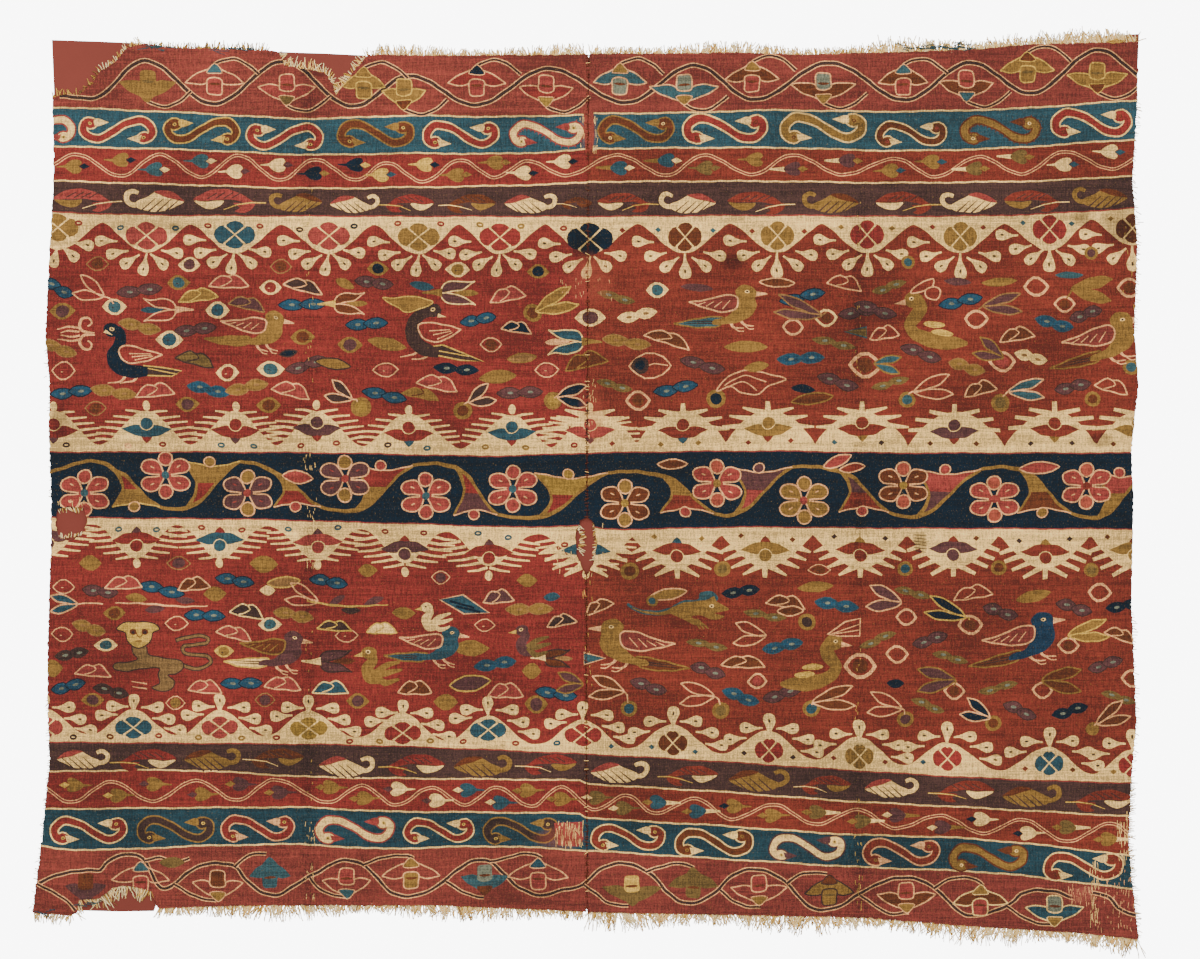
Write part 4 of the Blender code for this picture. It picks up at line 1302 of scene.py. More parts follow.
def duck(x, y, flip, size, dye):
    """A swimming duck with two pale feathers, facing left."""
    put = set_at(x, y, flip, size)
    stroke(dye, put([(2, 0), (7, 8), (3, 16), (-3, 24), (1, 33), (13, 39), (30, 42), (54, 43)]),
        np.array([14, 14, 12, 12, 15, 16, 12, 3.0]) * size)
    weave(dye, put(oval(0, 0, 19, 17)))
    weave("shell", put([(-8, -1), (-20, 4), (-8, 5)]))
    for u, v, tilt in ((21, 25, 4), (29, 33, 6)):
        edged("straw", None, put(oval(u, v, 22, 6.5, tilt)))
    head_eye(put, -2, -1)


def duckling(x, y, dye, feathers, size=1.0):
    """A small duck with raised wings, facing left."""
    put = set_at(x, y, 1, size)
    stroke(dye, put([(0, 0), (4, 7), (-1, 14), (2, 22), (12, 25)]), np.array([11, 9, 12, 14, 8.0]) * size)
    weave(dye, put(oval(0, 0, 15, 12)))
    weave("straw", put([(-6, -1), (-15, 3), (-6, 4)]))
    for tip_u, tip_v in ((30, 8), (32, 15), (29, 24)):
        stroke(feathers, put([(6, 20), (16, tip_v + 4), (tip_u, tip_v)]), np.array([6, 6, 2.0]) * size)
    head_eye(put, -1, -1)


for row in (
    (275, 319, 1, 8, 0.93, "ochre", "ochre", "pink"), (746, 293, 1, 0, 1.0, "ochre", "teal", "pink"),
    (1121, 321, 1, -10, 1.1, "ochre", "rust", "pink"), (294, 639, 1, 6, 0.94, "violet", "cream", "rust",
    "ochre"), (451, 634, 1, 6, 0.9, "blue", "blue", "pink"), (612, 628, -1, 4, 1.12, "ochre", "rust",
    "pink"), (1042, 621, 1, -8, 1.1, "navyblue", "rust", "pink"),
):
    songbird(*row)
duck(913, 300, 1, 1.0, "ochre")
duck(833, 642, -1, 0.98, "ochre")
for row in ((427, 607, "cream", "cream", 0.8), (522, 630, "violet", "olive", 0.9),
        (369, 653, "ochre", "ochre", 1.05)):
    duckling(*row)
crest = set_at(913, 300)
edged("red", "shell", crest(flow([(-3, -7), (4, -15), (20, -21), (17, -11), (6, -8)], step=3)), 1.5)
edged("red", "shell", crest(flow([(12, -9), (20, -13), (27, -9), (23, 0), (13, -2)], step=3)), 1.5)
edged("red", "shell", [(827, 634), (845, 621), (860, 618), (859, 636), (840, 636)], 1.6)
for tip in ((859, 624), (859, 630)):
    weave("shell", ribbon([(829, 634), tip], 1.1))

# The dark bird with a long neck, looking left, and its like that looks back over its wing.
for x, y, dye, neck, wing, tail, leg, beak in (
    (112, 330, "navy", ((4, 0), (9, 6), (7, 16), (2, 25), (6, 35), (18, 41), (36, 42)),
    ((8, 19), (16, 15), (34, 20), (51, 25), (51, 25), (36, 31), (20, 33), (10, 28)),
    ((32, 36), (52, 38), (70, 41), (60, 46), (32, 46)), ((14, 46), (26, 46)), ((-6, 0), (-9, 3), (1, 5))),
    (433, 311, "bark", ((0, 0), (-11, 3), (-19, 11), (-21, 22), (-17, 32), (-7, 39), (6, 42)),
    ((-15, 16), (-8, 12), (12, 14), (28, 18), (28, 18), (16, 27), (2, 31), (-10, 27)),
    ((-2, 36), (10, 34), (28, 41), (50, 51), (28, 49), (4, 44)), ((-14, 39), (-3, 42)),
    ((5, 3), (13, 6), (4, 7))),
):
    put = set_at(x, y)
    for u, v in leg:
        stroke("shell", put([(u, v), (u - 5, v + 5), (u - 18, v + 7)]), [3, 1.6, 1.0])
    edged("bark", "straw", put(tail), 1.5)
    middle = np.mean(tail, axis=0)
    weave("straw", put(ribbon([middle - (14, 3), middle + (16, 3)], 1.2)))
    stroke(dye, put(neck), [11, 11, 13, 14, 14, 13, 9])
    weave(dye, put(oval(0, 0, 17, 14)))
    edged("red", "shell", put(flow(wing)), 1.6)
    for share in (0.3, 0.55, 0.8):
        root = np.add(np.multiply(wing[0], 1 - share), np.multiply(wing[6], share)) + (6, 0)
        weave("shell", put(ribbon([root, root * 0.35 + np.multiply(wing[3], 0.65)], [1.2, 0.8])))
    weave("cream", put(beak))
    head_eye(put, 0, -1)
edged("ochre", "straw", flow([(383, 298), (396, 298), (409, 296), (425, 299), (433, 303), (418, 310),
    (405, 312), (398, 307)]), 1.3)

# The beast with a looped tail, its face turned to the front, and the small ridge-backed one.
stroke("bark", [(181, 664), (193, 669), (204, 667), (211, 662), (207, 656), (193, 655), (184, 652),
    (185, 646), (196, 645), (207, 643), (208, 638), (196, 636), (176, 640)], 4.6)
stroke("khaki", [(181, 664), (193, 669), (204, 667), (211, 662), (207, 656), (193, 655), (184, 652),
    (185, 646), (196, 645), (207, 643), (208, 638), (196, 636), (177, 640)], 2.4)
edged("khaki", "bark", flow([(133, 645), (146, 646), (150, 654), (168, 658), (182, 661), (183, 668),
    (176, 674), (168, 675), (175, 682), (172, 689), (160, 691), (152, 687), (160, 683), (158, 674),
    (160, 668), (144, 668), (128, 671), (116, 670), (115, 664), (128, 662), (138, 659), (134, 653)]), 1.2)
edged("straw", "bark", flow([(117, 629), (124, 623), (139, 622), (154, 623), (160, 629), (153, 632),
    (151, 641), (140, 648), (129, 643), (125, 633)]), 1.2)
for u in (-6, 6):
    weave("rust", oval(139 + u, 632, 7, 6))
    weave("bark", oval(139 + u, 632.5, 3.2, 3.2, 0, 8))
stroke("rust", [(135, 629), (138, 636), (142, 636), (143, 629)], 0.9)
weave("ochre", oval(139.5, 641, 7, 2.6))
for y in (681, 686):
    weave("shell", ribbon([(132, y), (147, y + 2)], [0.8, 1.6]))

stroke("teal", [(627, 604), (636, 610), (654, 613), (672, 610)], [2.4, 4, 5, 6])
stroke("ochre", [(632, 608), (640, 611), (656, 613.5), (674, 611)], [1, 2, 3, 5])
weave("teal", flow([(672, 607), (684, 600), (698, 599), (700, 593), (712, 591), (718, 600), (700, 606)]))
weave("ochre", flow([(668, 611), (678, 604), (692, 601), (706, 600), (714, 596), (717, 602), (729, 609),
    (722, 612), (714, 613), (724, 617), (712, 620), (700, 615), (692, 617), (704, 624), (694, 625),
    (682, 618)]))
for u in (0, 4, 8):
    weave("ochre", ribbon([(694 + u * 0.4, 619), (700 + u, 629)], [2.4, 1.2]))
head_eye(set_at(712, 606), 0, 0)

# Stalks, a blue leaf with a dark rib, the almond leaf and the winged leaf beside their berries, and the
# pale scroll before the dark bird.
stroke("shell", [(116, 603), (150, 604), (180, 606), (208, 606)], [1, 2, 1.8, 1])
stroke("straw", [(308, 601), (325, 604), (352, 606), (389, 605)], [1.4, 2.2, 1.8, 0.8])
edged("blue", "shell", [(440, 599), (463, 595), (489, 613), (464, 614)], 1.5)
for row in ((450, 601, 474, 608), (456, 606, 480, 612)):
    weave("navy", ribbon([row[:2], row[2:]], 2.4))
edged(None, "shell", almond(650, 366, 42, 26), 1.6)
stroke("shell", [(649, 366), (656, 364), (668, 366)], 1.2)
berry(640, 365, "bark", "navy", 17)
edged(None, "shell", flow([(716, 391), (728, 377), (745, 371), (764, 373), (786, 379), (770, 385),
    (758, 394), (742, 393), (730, 387)]), 1.5)
for row in ((724, 386, 744, 376, 766, 382), (728, 388, 742, 382, 757, 390)):
    stroke("shell", [row[:2], row[2:4], row[4:]], 1.2)
leaf(756, 367, 26, 10, -12, "ochre")
edged("violet", "straw", almond(470, 683, 42, 16, -8), 1.6)
edged("teal", "shell", [(584, 652), (584, 664), (606, 658)], 1.6)
edged("olive", "teal", [(844, 332), (866, 327), (867, 338)], 1.8)
for rise in (1, -1):
    put = set_at(88, 334, -1, 1, 0, rise)
    stroke("shell", put([(-7, 1), (4, 2), (8, 8), (5, 15), (-2, 15), (-4, 10), (0, 7)]),
        [1.2, 2.6, 3, 3, 2, 1.6])
    for v, end in ((2, 27), (6, 30)):
        stroke("shell", put([(8, v), (18, v + 1), (end, v - 1)]), [2.2, 2, 0.8])


# Tapestry, mends and wear. The upper blue band is darned at the seam, bare warps show on the folds, at
# the lower right corner and in a mend on the lower blue band, and a dark darn holds one cream mound.
def bare_warps(x0, y0, x1, y1, count, seed, dye="straw", longest=6.0, width=0.6):
    """Warps that show through where the weft has worn away."""
    draw = np.random.default_rng(seed)
    for _ in range(count):
        x, y = draw.uniform(x0, x1), draw.uniform(y0, y1)
        long = draw.uniform(1.6, longest)
        weave(dye, ribbon([(x, y - long / 2), (x + draw.normal(0, 0.3), y + long / 2)],
            [width, width * 0.7]))


weave("rose", [(584, 114), (593.5, 113), (594, 136), (592.5, 151), (585.5, 151), (583.5, 134)])
bare_warps(580, 112, 584, 150, 12, 11, "cream")
bare_warps(593, 112, 598, 152, 14, 12, "cream", 9)
weave("pink", [(554, 823), (582, 821), (584, 838), (578, 846), (558, 845)])
bare_warps(554, 823, 584, 845, 60, 13, "cream", 10)
weave("faded", [(1070, 888), (1090, 886), (1092, 900), (1074, 903)])
bare_warps(1068, 886, 1094, 904, 46, 14, "shell", 6)
bare_warps(1116, 815, 1134, 862, 60, 15, "cream", 11)
bare_warps(1090, 862, 1098, 924, 44, 16, "cream", 11)
bare_warps(1098, 870, 1134, 930, 60, 17, "shell", 6)
for box in ((304, 454, 317, 470), (306, 497, 317, 526), (307, 549, 316, 568), (305, 822, 316, 846),
        (306, 860, 315, 900)):
    bare_warps(*box, 14, int(box[1]), "cream", 5)
for y0 in (180, 260, 330, 600, 660, 760):
    bare_warps(306, y0, 313, y0 + 55, 6, y0, "straw", 4)
    bare_warps(855, y0 + 20, 861, y0 + 70, 5, y0 + 1, "straw", 4)
bare_warps(854, 834, 862, 912, 22, 18, "straw", 6)
bare_warps(560, 255, 612, 300, 26, 19, "shell", 4, 0.7)
bare_warps(583, 380, 596, 450, 26, 20, "cream", 7)
bare_warps(583, 560, 592, 745, 20, 21, "straw", 5)
bare_warps(57, 500, 92, 505, 12, 22, "cream", 6)
bare_warps(556, 525, 606, 575, 30, 23, "cream", 6)
bare_warps(1122, 200, 1138, 330, 14, 24, "straw", 6)
for i in range(6):
    weave("bark", ribbon([(913, 535 + 3.2 * i), (926, 536.5 + 3.2 * i)], [0.7, 1.3, 0.7]))


# Panels. The two finished webs, one sheet each with its fringe ends top and bottom, its side edges
# woven round the outer warps, and its old fold lines standing up a little.
PANEL_FLOOR, PANEL_THICK = 1.3, 1.6
SEAM_HALF_GAP = 0.4
WARP_PITCH = 0.00105
SEAM = ((588, 150), (588, 250), (587, 440), (587, 517))
SEAM_BELOW = ((586.5, 575), (586, 700), (587, 850))
LEFT_LOOP = (
    (53, 98), (62, 95), (80, 95), (93, 84), (100, 72), (116, 62), (128, 48), (145, 44), (170, 48),
    (275, 51), (279, 53), (285, 66), (310, 70), (325, 73), (333, 84), (336, 96), (345, 84), (360, 64),
    (369, 55), (420, 56), (588.6, 55), *((x - SEAM_HALF_GAP, y) for x, y in SEAM), (580, 521), (575, 535),
    (577, 556), (583, 570), *((x - SEAM_HALF_GAP, y) for x, y in SEAM_BELOW), (586.6, 912), (580, 911),
    (440, 905), (250, 905), (158, 908), (152, 891), (140, 887), (125, 885), (112, 888), (100, 898),
    (79, 900), (77, 913), (70, 915), (33, 912), (35, 895), (42, 843), (46, 800), (50, 760), (48, 700),
    (48, 650), (51, 550), (52, 500), (49, 430), (50, 400), (49, 370), (46, 340), (47, 310), (50, 250),
    (54, 190), (54, 150), (53, 110),
)
SIDE_HOLE = ((58, 509), (70, 506), (84, 508), (88, 521), (83, 534), (72, 541), (60, 538), (56, 524))
RIGHT_LOOP = (
    (589.4, 54), (656, 54), (739, 53), (800, 55), (880, 53), (975, 50), (1025, 45), (1137.5, 42),
    (1137, 100), (1132, 180), (1137, 245), (1134, 330), (1138, 385), (1131, 450), (1133, 500),
    (1131, 600), (1136, 720), (1131, 780), (1128, 840), (1131, 880), (1134, 900), (1138, 939),
    (1083, 933), (947, 924), (860, 917), (700, 914), (587.4, 912),
    *((x + SEAM_HALF_GAP, y) for x, y in reversed(SEAM_BELOW)), (594, 563), (597, 543), (594, 523),
    *((x + SEAM_HALF_GAP, y) for x, y in reversed(SEAM)),
)
FOLDS = {"left_panel": 309.0, "right_panel": 858.0}
FOLD_NEAR, FOLD_FAR = (0.0, 5.0, 16.0), (0.9, 0.45, 0.0)
COCKLE_RISE, COCKLE_ACROSS, COCKLE_DOWN = 0.5, 88.0, 61.0


def ragged(loop, step, jitter, seed):
    """A cut or worn edge: the loop with uneven small steps."""
    draw = np.random.default_rng(seed)
    line = steps_along(loop, step)
    return line + draw.normal(0, jitter, line.shape)


def cockled(fold):
    """How far a panel stands off its backing, with its fold line at this place across."""
    def lift(x, y):
        wave = np.sin(x / COCKLE_ACROSS * math.tau) * np.sin(y / COCKLE_DOWN + x / 130.0)
        ridge = np.interp(np.abs(x - fold), FOLD_NEAR, FOLD_FAR) * (0.8 + 0.2 * np.sin(y / 47.0))
        return COCKLE_RISE * (0.5 + 0.5 * wave) + ridge
    return lift


def by_hand(outline):
    """The small unevenness of hand weaving, which shifts neighbouring yarns alike."""
    x, y = outline[:, 0], outline[:, 1]
    dx = 0.25 * np.sin(y / 2.1 + 2.0 * np.sin(x / 17.0)) + 0.3 * np.sin(y / 9.7 + x / 23.0)
    dy = 0.28 * np.sin(x / 2.9 + 1.6 * np.sin(y / 13.0)) + 0.35 * np.sin(x / 13.3 + y / 31.0)
    return outline + np.column_stack([dx, dy])


FADED = ((590, 284, 26, 22), (588, 130, 9, 26), (588, 262, 12, 12), (560, 838, 26, 12),
    (1081, 895, 14, 10), (592, 415, 14, 34))
STAINED = ((176, 228, 9, 6), (1081, 218, 12, 10), (1100, 440, 16, 8), (733, 262, 14, 9),
    (585, 246, 16, 18), (920, 543, 8, 11), (1118, 230, 22, 26), (60, 420, 10, 20))


def sum_of(masks):
    """Adds up masks."""
    masks = list(masks)
    total = masks[0]
    for mask in masks[1:]:
        total = total + mask
    return total


def soft_spot(across, along, x, y, wide, high):
    """A soft round mask at a place on the table."""
    u = (across * TO_MM - (x - MID_ACROSS)) * (1.0 / wide)
    v = (along * TO_MM - (MID_DOWN - y)) * (1.0 / high)
    return (u * u + v * v).ease(1.3, 0.0)


def tapestry():
    """Wool weft over cotton warp: upright ribs, streaks along the weft, wear and soil, and painted shade
    along the fold lines.
    """
    material, shader, place = cloth_material("wool_tapestry", 0.92, 0.12)
    axes = place.node("ShaderNodeSeparateXYZ", None, Vector=place)
    across, along = Yarn(place.tree, axes.outputs[0]), Yarn(place.tree, axes.outputs[1])
    dye = Yarn(place.tree, place.node("ShaderNodeAttribute", {"attribute_name": "dye"}).outputs["Color"])
    streak = place.noise(26, 1.5, 3)
    abrash = place.noise(170, 5, 2, 40)
    rib = place.noise(1.5, 11, 2, 9)
    grain = place.noise(1.7, 1.3, 1, 3)
    soil = place.noise(110, 80, 3, 70)
    tone = 0.82 + 1.4 * (grain - 0.5) + 1.5 * (rib - 0.5) + 1.3 * (streak - 0.5)
    tone = (tone + 0.9 * (abrash - 0.5) + 1.3 * (soil - 0.5)).clamp(0.45, 2.1)
    # Darker along the two fold lines: painted shade of the creases. The same mask also puts more worn flecks
    # of warp there.
    fold_shade_and_wear = sum_of(((across * TO_MM - (fold - MID_ACROSS)).size().ease(13.0, 0.0)
        for fold in FOLDS.values()))
    colour = dye.shade(tone - 0.16 * fold_shade_and_wear)
    sparse = place.noise(46, 60, 2, 55)
    fleck = place.noise(1.0, 2.4, 2, 21).ease(0.70, 0.78) * (0.35 + sparse.ease(0.42, 0.6) + 0.8
        * fold_shade_and_wear).clamp()
    faded = sum_of((soft_spot(across, along, *spot) for spot in FADED))
    stained = sum_of((soft_spot(across, along, *spot) for spot in STAINED))
    colour = colour.blend(dyed("salmon"), (faded * (0.25 + 0.6 * grain)).clamp() * 0.55)
    colour = colour.shade(1.0 - 0.5 * stained.clamp())
    salt = place.noise(1.3, 1.8, 1, 33).ease(0.6, 0.8)
    colour = colour.blend(dyed("straw"), (fleck * 0.6 + salt * 0.16).clamp())
    place.tree.links.new(colour.socket, shader.inputs["Base Color"])
    warps = (across * (math.tau / WARP_PITCH)).sine()
    raise_grain(place, shader, warps * 0.5 + grain * 1.4 + rib * 0.8 + streak * 0.5, 0.16)
    return material


wool = tapestry()
for name, loops, seed in (("left_panel", [LEFT_LOOP, SIDE_HOLE], 5), ("right_panel", [RIGHT_LOOP], 6)):
    loops = [ragged(loop, 2.4, 0.35, seed + i) for i, loop in enumerate(loops)]
    low, high = loops[0].min(0), loops[0].max(0)
    duller = {"red": "dull red", "rose": "dull rose"} if name == "right_panel" else {}
    mine = [(duller.get(dye, dye), by_hand(outline)) for dye, outline in areas
        if outline[:, 0].max() > low[0] and outline[:, 0].min() < high[0]]
    mesh = sheet_mesh(name + "_web", loops, mine, 7.0, PANEL_FLOOR, PANEL_THICK, cockled(FOLDS[name]))
    mesh.materials.append(wool)
    panel = bpy.data.objects.new(name + "_weave", mesh)
    bpy.context.scene.collection.objects.link(panel)
    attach(panel, "root")
    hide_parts(name)
    print(name, "triangles", len(mesh.polygons), "areas", len(mine))


# Warp ends and sewing. The cut cotton warps stand out past the upper and lower edges and over the
# backing at the tears. Wool thread closes the seam. One node tree spins every loose yarn, one to a guide
# point that says where it starts, which way it goes, how long and thick it is, and its dye.
WARP_THICK, WARP_FLOOR = 1.15, 1.9
COTTON = (("straw", 0.2), ("cotton", 0.45), ("cream", 0.3), ("clay", 0.05))
SOILED = (("straw", 0.55), ("khaki", 0.2), ("clay", 0.25))


def loose_yarn_tree():
    """Guide points to yarns: a thin three-sided taper on each, bent more and more towards its tip."""
    tree = bpy.data.node_groups.new("loose_yarn", "GeometryNodeTree")
    for label, way, kind in (("Guides", "INPUT", "Geometry"), ("Waviness", "INPUT", "Float"),
            ("Seed", "INPUT", "Float"), ("Material", "INPUT", "Material"),
            ("Yarns", "OUTPUT", "Geometry")):
        tree.interface.new_socket(label, in_out=way, socket_type="NodeSocket" + kind)
    given = tree.nodes.new("NodeGroupInput")
    start = Yarn(tree, given.outputs["Guides"])

    def field(kind, name):
        """A guide point's own value."""
        node = start.node("GeometryNodeInputNamedAttribute", {"data_type": kind}, Name=name)
        return Yarn(tree, node.outputs["Attribute"])

    def kept(geometry, name, kind, domain, value):
        """The geometry, with a value stored on it."""
        node = start.node("GeometryNodeStoreNamedAttribute", {"data_type": kind, "domain": domain},
            Geometry=geometry, Name=name, Value=value)
        return Yarn(tree, node.outputs["Geometry"])

    cone = start.node("GeometryNodeMeshCone", None, Vertices=3, Side_Segments=5, Radius_Top=0.36,
        Radius_Bottom=0.5, Depth=1.0)
    split = start.node("ShaderNodeSeparateXYZ", None, Vector=Yarn(tree,
        tree.nodes.new("GeometryNodeInputPosition").outputs[0]))
    taper = kept(Yarn(tree, cone.outputs["Mesh"]), "along", "FLOAT", "POINT",
        Yarn(tree, split.outputs["Z"]))
    points = Yarn(tree, start.node("GeometryNodeMeshToPoints", None, Mesh=start).outputs[0])
    thick = field("FLOAT", "thick")
    scale = start.node("ShaderNodeCombineXYZ", None, X=thick, Y=thick, Z=field("FLOAT", "reach"))
    placed = start.node("GeometryNodeInstanceOnPoints", None, Points=points, Instance=taper,
        Rotation=field("FLOAT_VECTOR", "aim"), Scale=Yarn(tree, scale.outputs[0]))
    tinted = kept(Yarn(tree, placed.outputs[0]), "dye", "FLOAT_COLOR", "INSTANCE",
        field("FLOAT_COLOR", "yarn"))
    real = Yarn(tree, start.node("GeometryNodeRealizeInstances", None, Geometry=tinted).outputs[0])
    cloud = start.node("ShaderNodeTexNoise", {"noise_dimensions": "4D"},
        W=Yarn(tree, given.outputs["Seed"]), Scale=150.0, Detail=1.0)
    swing = start.node("ShaderNodeVectorMath", {"operation": "SUBTRACT"},
        i0=Yarn(tree, cloud.outputs["Color"]), i1=(0.5, 0.5, 0.5))
    flat = start.node("ShaderNodeVectorMath", {"operation": "MULTIPLY"}, i0=Yarn(tree, swing.outputs[0]),
        i1=(1.0, 1.0, 0.15))
    bent = start.node("ShaderNodeVectorMath", {"operation": "SCALE"}, Vector=Yarn(tree, flat.outputs[0]),
        Scale=field("FLOAT", "along") * Yarn(tree, given.outputs["Waviness"]))
    moved = start.node("GeometryNodeSetPosition", None, Geometry=real, Offset=Yarn(tree, bent.outputs[0]))
    done = start.node("GeometryNodeSetMaterial", None, Geometry=Yarn(tree, moved.outputs[0]),
        Material=Yarn(tree, given.outputs["Material"]))
    out = tree.nodes.new("NodeGroupOutput")
    tree.links.new(done.outputs[0], out.inputs["Yarns"])
    return tree


def cotton():
    """Spun yarn: its dye, a little uneven."""
    material, shader, place = cloth_material("spun_yarn")
    dye = Yarn(place.tree, place.node("ShaderNodeAttribute", {"attribute_name": "dye"}).outputs["Color"])
    tone = 0.65 + 0.7 * place.noise(3.0, 3.0)
    place.tree.links.new(dye.shade(tone).socket, shader.inputs["Base Color"])
    return material


LOOSE_YARN, YARN = loose_yarn_tree(), cotton()


def spin(name, ends, waviness, seed, replaces=None):
    """Makes a piece of loose yarns from rows of place, height, direction, length, thickness and dye."""
    guides = bpy.data.meshes.new(name + "_yarns")
    flat = on_table([(row[0], row[1]) for row in ends])
    guides.from_pydata([(x, y, row[2] * MM) for (x, y), row in zip(flat, ends)], [], [])
    aims = [Vector((row[3][0], -row[3][1], row[3][2])).to_track_quat("Z", "Y").to_euler() for row in ends]
    for label, kind, slot, values in (
        ("aim", "FLOAT_VECTOR", "vector", [a for aim in aims for a in aim]),
        ("reach", "FLOAT", "value", [row[4] * MM for row in ends]),
        ("thick", "FLOAT", "value", [row[5] * MM for row in ends]),
        ("yarn", "FLOAT_COLOR", "color", [c for row in ends for c in (*dyed(row[6]), 1.0)]),
    ):
        guides.attributes.new(label, kind, "POINT").data.foreach_set(slot, values)
    piece = bpy.data.objects.new(name, guides)
    bpy.context.scene.collection.objects.link(piece)
    modifier = piece.modifiers.new("yarns", "NODES")
    modifier.node_group = LOOSE_YARN
    given = {item.name: item.identifier for item in LOOSE_YARN.interface.items_tree
        if item.in_out == "INPUT"}
    modifier[given["Waviness"]] = waviness * MM
    modifier[given["Seed"]] = float(seed)
    modifier[given["Material"]] = YARN
    seen = piece.evaluated_get(bpy.context.evaluated_depsgraph_get())
    mesh = bpy.data.meshes.new_from_object(seen)
    piece.modifiers.remove(modifier)
    piece.data = mesh
    mesh.shade_smooth()
    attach(piece, "root")
    if replaces:
        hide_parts(replaces)
    print(name, "yarns", len(ends), "faces", len(mesh.polygons))


def warp_ends(line, gap, way, short, long, seed, dyes=COTTON, lean=22.0, inset=1.6):
    """Cut warps along an edge, in leaning locks. way is -1 up the table and 1 down it, or an angle."""
    draw = np.random.default_rng(seed)
    places = steps_along(line, gap, closed=False)
    names, shares = [d for d, _ in dyes], [share for _, share in dyes]
    rows = []
    for x, y in places:
        x = x + draw.normal(0, gap * 0.4)
        lock = math.sin(x / 3.1 + 2.0 * math.sin(x / 11.0 + seed)) * 0.7 + math.sin(x / 17.0 + seed) * 0.4
        turn = math.radians((90.0 * way if abs(way) <= 1 else way) + lean * lock
            + draw.normal(0, lean * 0.55))
        reach = (short + (long - short) * draw.uniform(0, 1) ** 1.3) * (1.0 + 0.25
            * math.sin(x / 29.0 + seed))
        drop = draw.uniform(-0.09, -0.02) * 8.0 / reach
        aim = (math.cos(turn), math.sin(turn), drop)
        back = (x - inset * math.cos(turn), y - inset * math.sin(turn))
        rows.append((*back, WARP_FLOOR + draw.uniform(-0.3, 0.5), aim, reach + inset, WARP_THICK
            * draw.uniform(0.8, 1.4), draw.choice(names, p=shares)))
    return rows


def weft_scraps(x0, x1, y, count, seed, dye):
    """Short ends of coloured weft left on the warps."""
    draw = np.random.default_rng(seed)
    return [(draw.uniform(x0, x1), y + draw.normal(0, 1.6), 3.0, (draw.choice([-1, 1]),
        draw.normal(0, 0.2), 0.0), draw.uniform(5, 13), 1.3, dye) for _ in range(count)]


TOP_LEFT_LINE = ((147, 46), (170, 48), (268, 51.5))
TOP_MIDDLE_LINE = ((372, 57), (420, 57), (586, 56))
TOP_RIGHT_LINE = ((591, 55), (656, 55), (739, 54), (800, 56), (880, 54), (975, 51), (1025, 46),
    (1100, 43.5), (1136, 43))
LOW_LEFT_LINE = ((34, 911), (72, 914))
LOW_MIDDLE_LINE = ((160, 907), (250, 904), (440, 904), (584, 910))
LOW_RIGHT_LINE = ((589, 911), (700, 913), (860, 916), (947, 923), (1083, 932), (1136, 938))
spin("fringe_top_left_yarns", warp_ends(TOP_LEFT_LINE, 0.6, -1, 2, 8, 31, SOILED)
    + weft_scraps(145, 168, 47, 9, 41, "teal") + weft_scraps(212, 250, 50, 12, 42, "blue"), 3.0, 1,
    "fringe_top_left")
spin("fringe_top_middle_yarns", warp_ends(TOP_MIDDLE_LINE, 0.34, -1, 3, 11, 32), 4.0, 2,
    "fringe_top_middle")
spin("fringe_top_right_yarns", warp_ends(TOP_RIGHT_LINE, 0.34, -1, 4, 12, 33, lean=34)
    + warp_ends(TOP_RIGHT_LINE[4:], 0.9, -1, 7, 16, 34, lean=40) + weft_scraps(905, 975, 48, 26, 43,
    "blue") + weft_scraps(1105, 1128, 42, 6, 44, "straw"), 5.0, 3, "fringe_top_right")
spin("fringe_bottom_left_yarns", warp_ends(LOW_LEFT_LINE, 0.5, 1, 6, 16, 35), 5.0, 4,
    "fringe_bottom_left")
spin("fringe_bottom_middle_yarns", warp_ends(LOW_MIDDLE_LINE, 0.34, 1, 6, 15, 36, lean=34), 5.0, 5,
    "fringe_bottom_middle")
spin("fringe_bottom_right_yarns", warp_ends(LOW_RIGHT_LINE, 0.34, 1, 7, 18, 37, lean=38)
    + warp_ends(LOW_RIGHT_LINE[4:], 1.0, 1, 8, 18, 38, lean=40), 6.0, 6, "fringe_bottom_right")

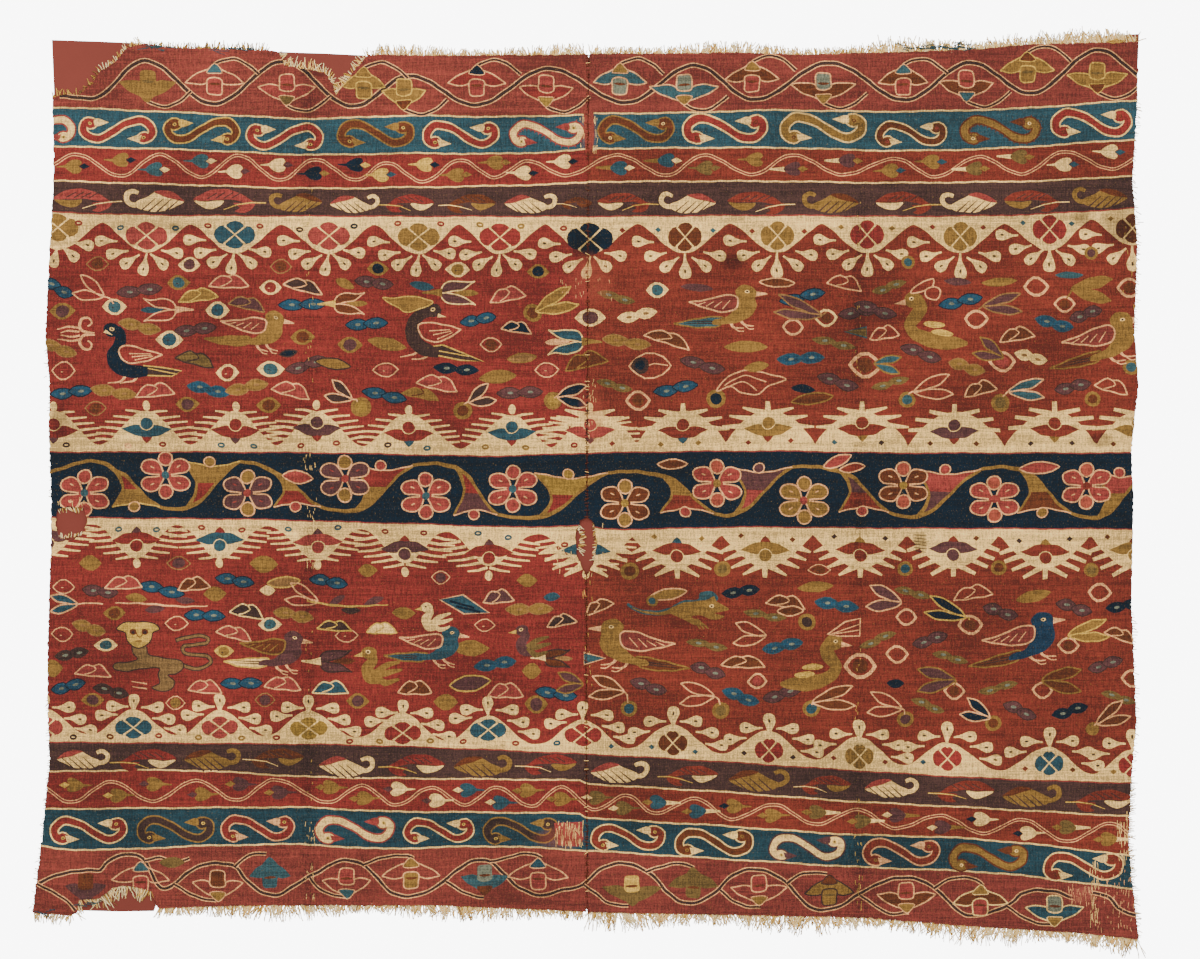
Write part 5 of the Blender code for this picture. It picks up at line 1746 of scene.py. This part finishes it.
frayed = []
for i, (line, gap, way, short, long) in enumerate((
    (((53, 98), (62, 95), (80, 95)), 1.3, -90, 2, 7), (((82, 94), (93, 84), (100, 72)), 1.2, -130, 3, 9),
    (((100, 72), (116, 62), (128, 48), (145, 44)), 1.3, -120, 3, 9),
    (((279, 53), (285, 66)), 1.5, -30, 3, 9), (((285, 66), (310, 70), (325, 73)), 0.9, -90, 3, 10),
    (((325, 73), (333, 84), (336, 96)), 1.0, -40, 4, 12), (((336, 96), (345, 84), (360, 64), (369, 55)),
    1.0, -140, 4, 12), (((58, 509), (84, 508)), 1.6, 90, 2, 5), (((60, 538), (83, 534)), 1.6, -90, 2, 6),
    (((575, 521), (582, 535), (580, 552)), 1.4, 20, 2, 7), (((594, 523), (597, 543), (594, 560)), 1.4,
    165, 2, 6), (((152, 891), (125, 885), (112, 888), (100, 898)), 0.9, 95, 5, 14),
    (((100, 898), (79, 900), (77, 913)), 1.4, 60, 4, 10), (((1137, 100), (1132, 180), (1137, 245),
    (1134, 330)), 2.6, 10, 1, 4), (((1131, 600), (1136, 720), (1131, 780)), 3.0, 10, 1, 4),
    (((1131, 780), (1128, 840), (1131, 880), (1137, 938)), 1.1, 20, 2, 8),
    (((49, 310), (46, 340), (50, 400), (52, 500)), 3.4, 175, 1, 3),
    (((48, 700), (50, 760), (42, 843), (33, 912)), 2.6, 175, 1, 4),
)):
    frayed += warp_ends(line, gap, way, short, long, 50 + i, SOILED if i in (0, 1) else COTTON, 30.0)
frayed += weft_scraps(38, 50, 912, 5, 61, "blue") + weft_scraps(80, 92, 905, 5, 62, "teal")
spin("torn_edge_warps", frayed, 4.0, 7)

sewing = []
draw = np.random.default_rng(70)
for part, start, end in ((SEAM, 56, 520), (SEAM_BELOW, 571, 910)):
    line = np.array(sorted(part, key=lambda spot: spot[1]), float)
    for y in np.arange(start, end, 2.6):
        if draw.uniform() > (0.9 if 385 < y < 445 else 0.62):
            continue
        x = np.interp(y, line[:, 1], line[:, 0])
        high = PANEL_FLOOR + PANEL_THICK + float(cockled(FOLDS["left_panel"])(np.array([x]),
            np.array([y]))[0]) + 0.15
        wide = draw.uniform(2.6, 5.2)
        sewing.append((x - wide / 2, y + draw.normal(0, 0.5), high, (1.0, draw.normal(0, 0.3), 0.0), wide,
            1.0, "cream" if draw.uniform() < 0.12 else "bark" if 385 < y < 445 else "rust"))
spin("seam_sewing", sewing, 0.6, 8)

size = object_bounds()
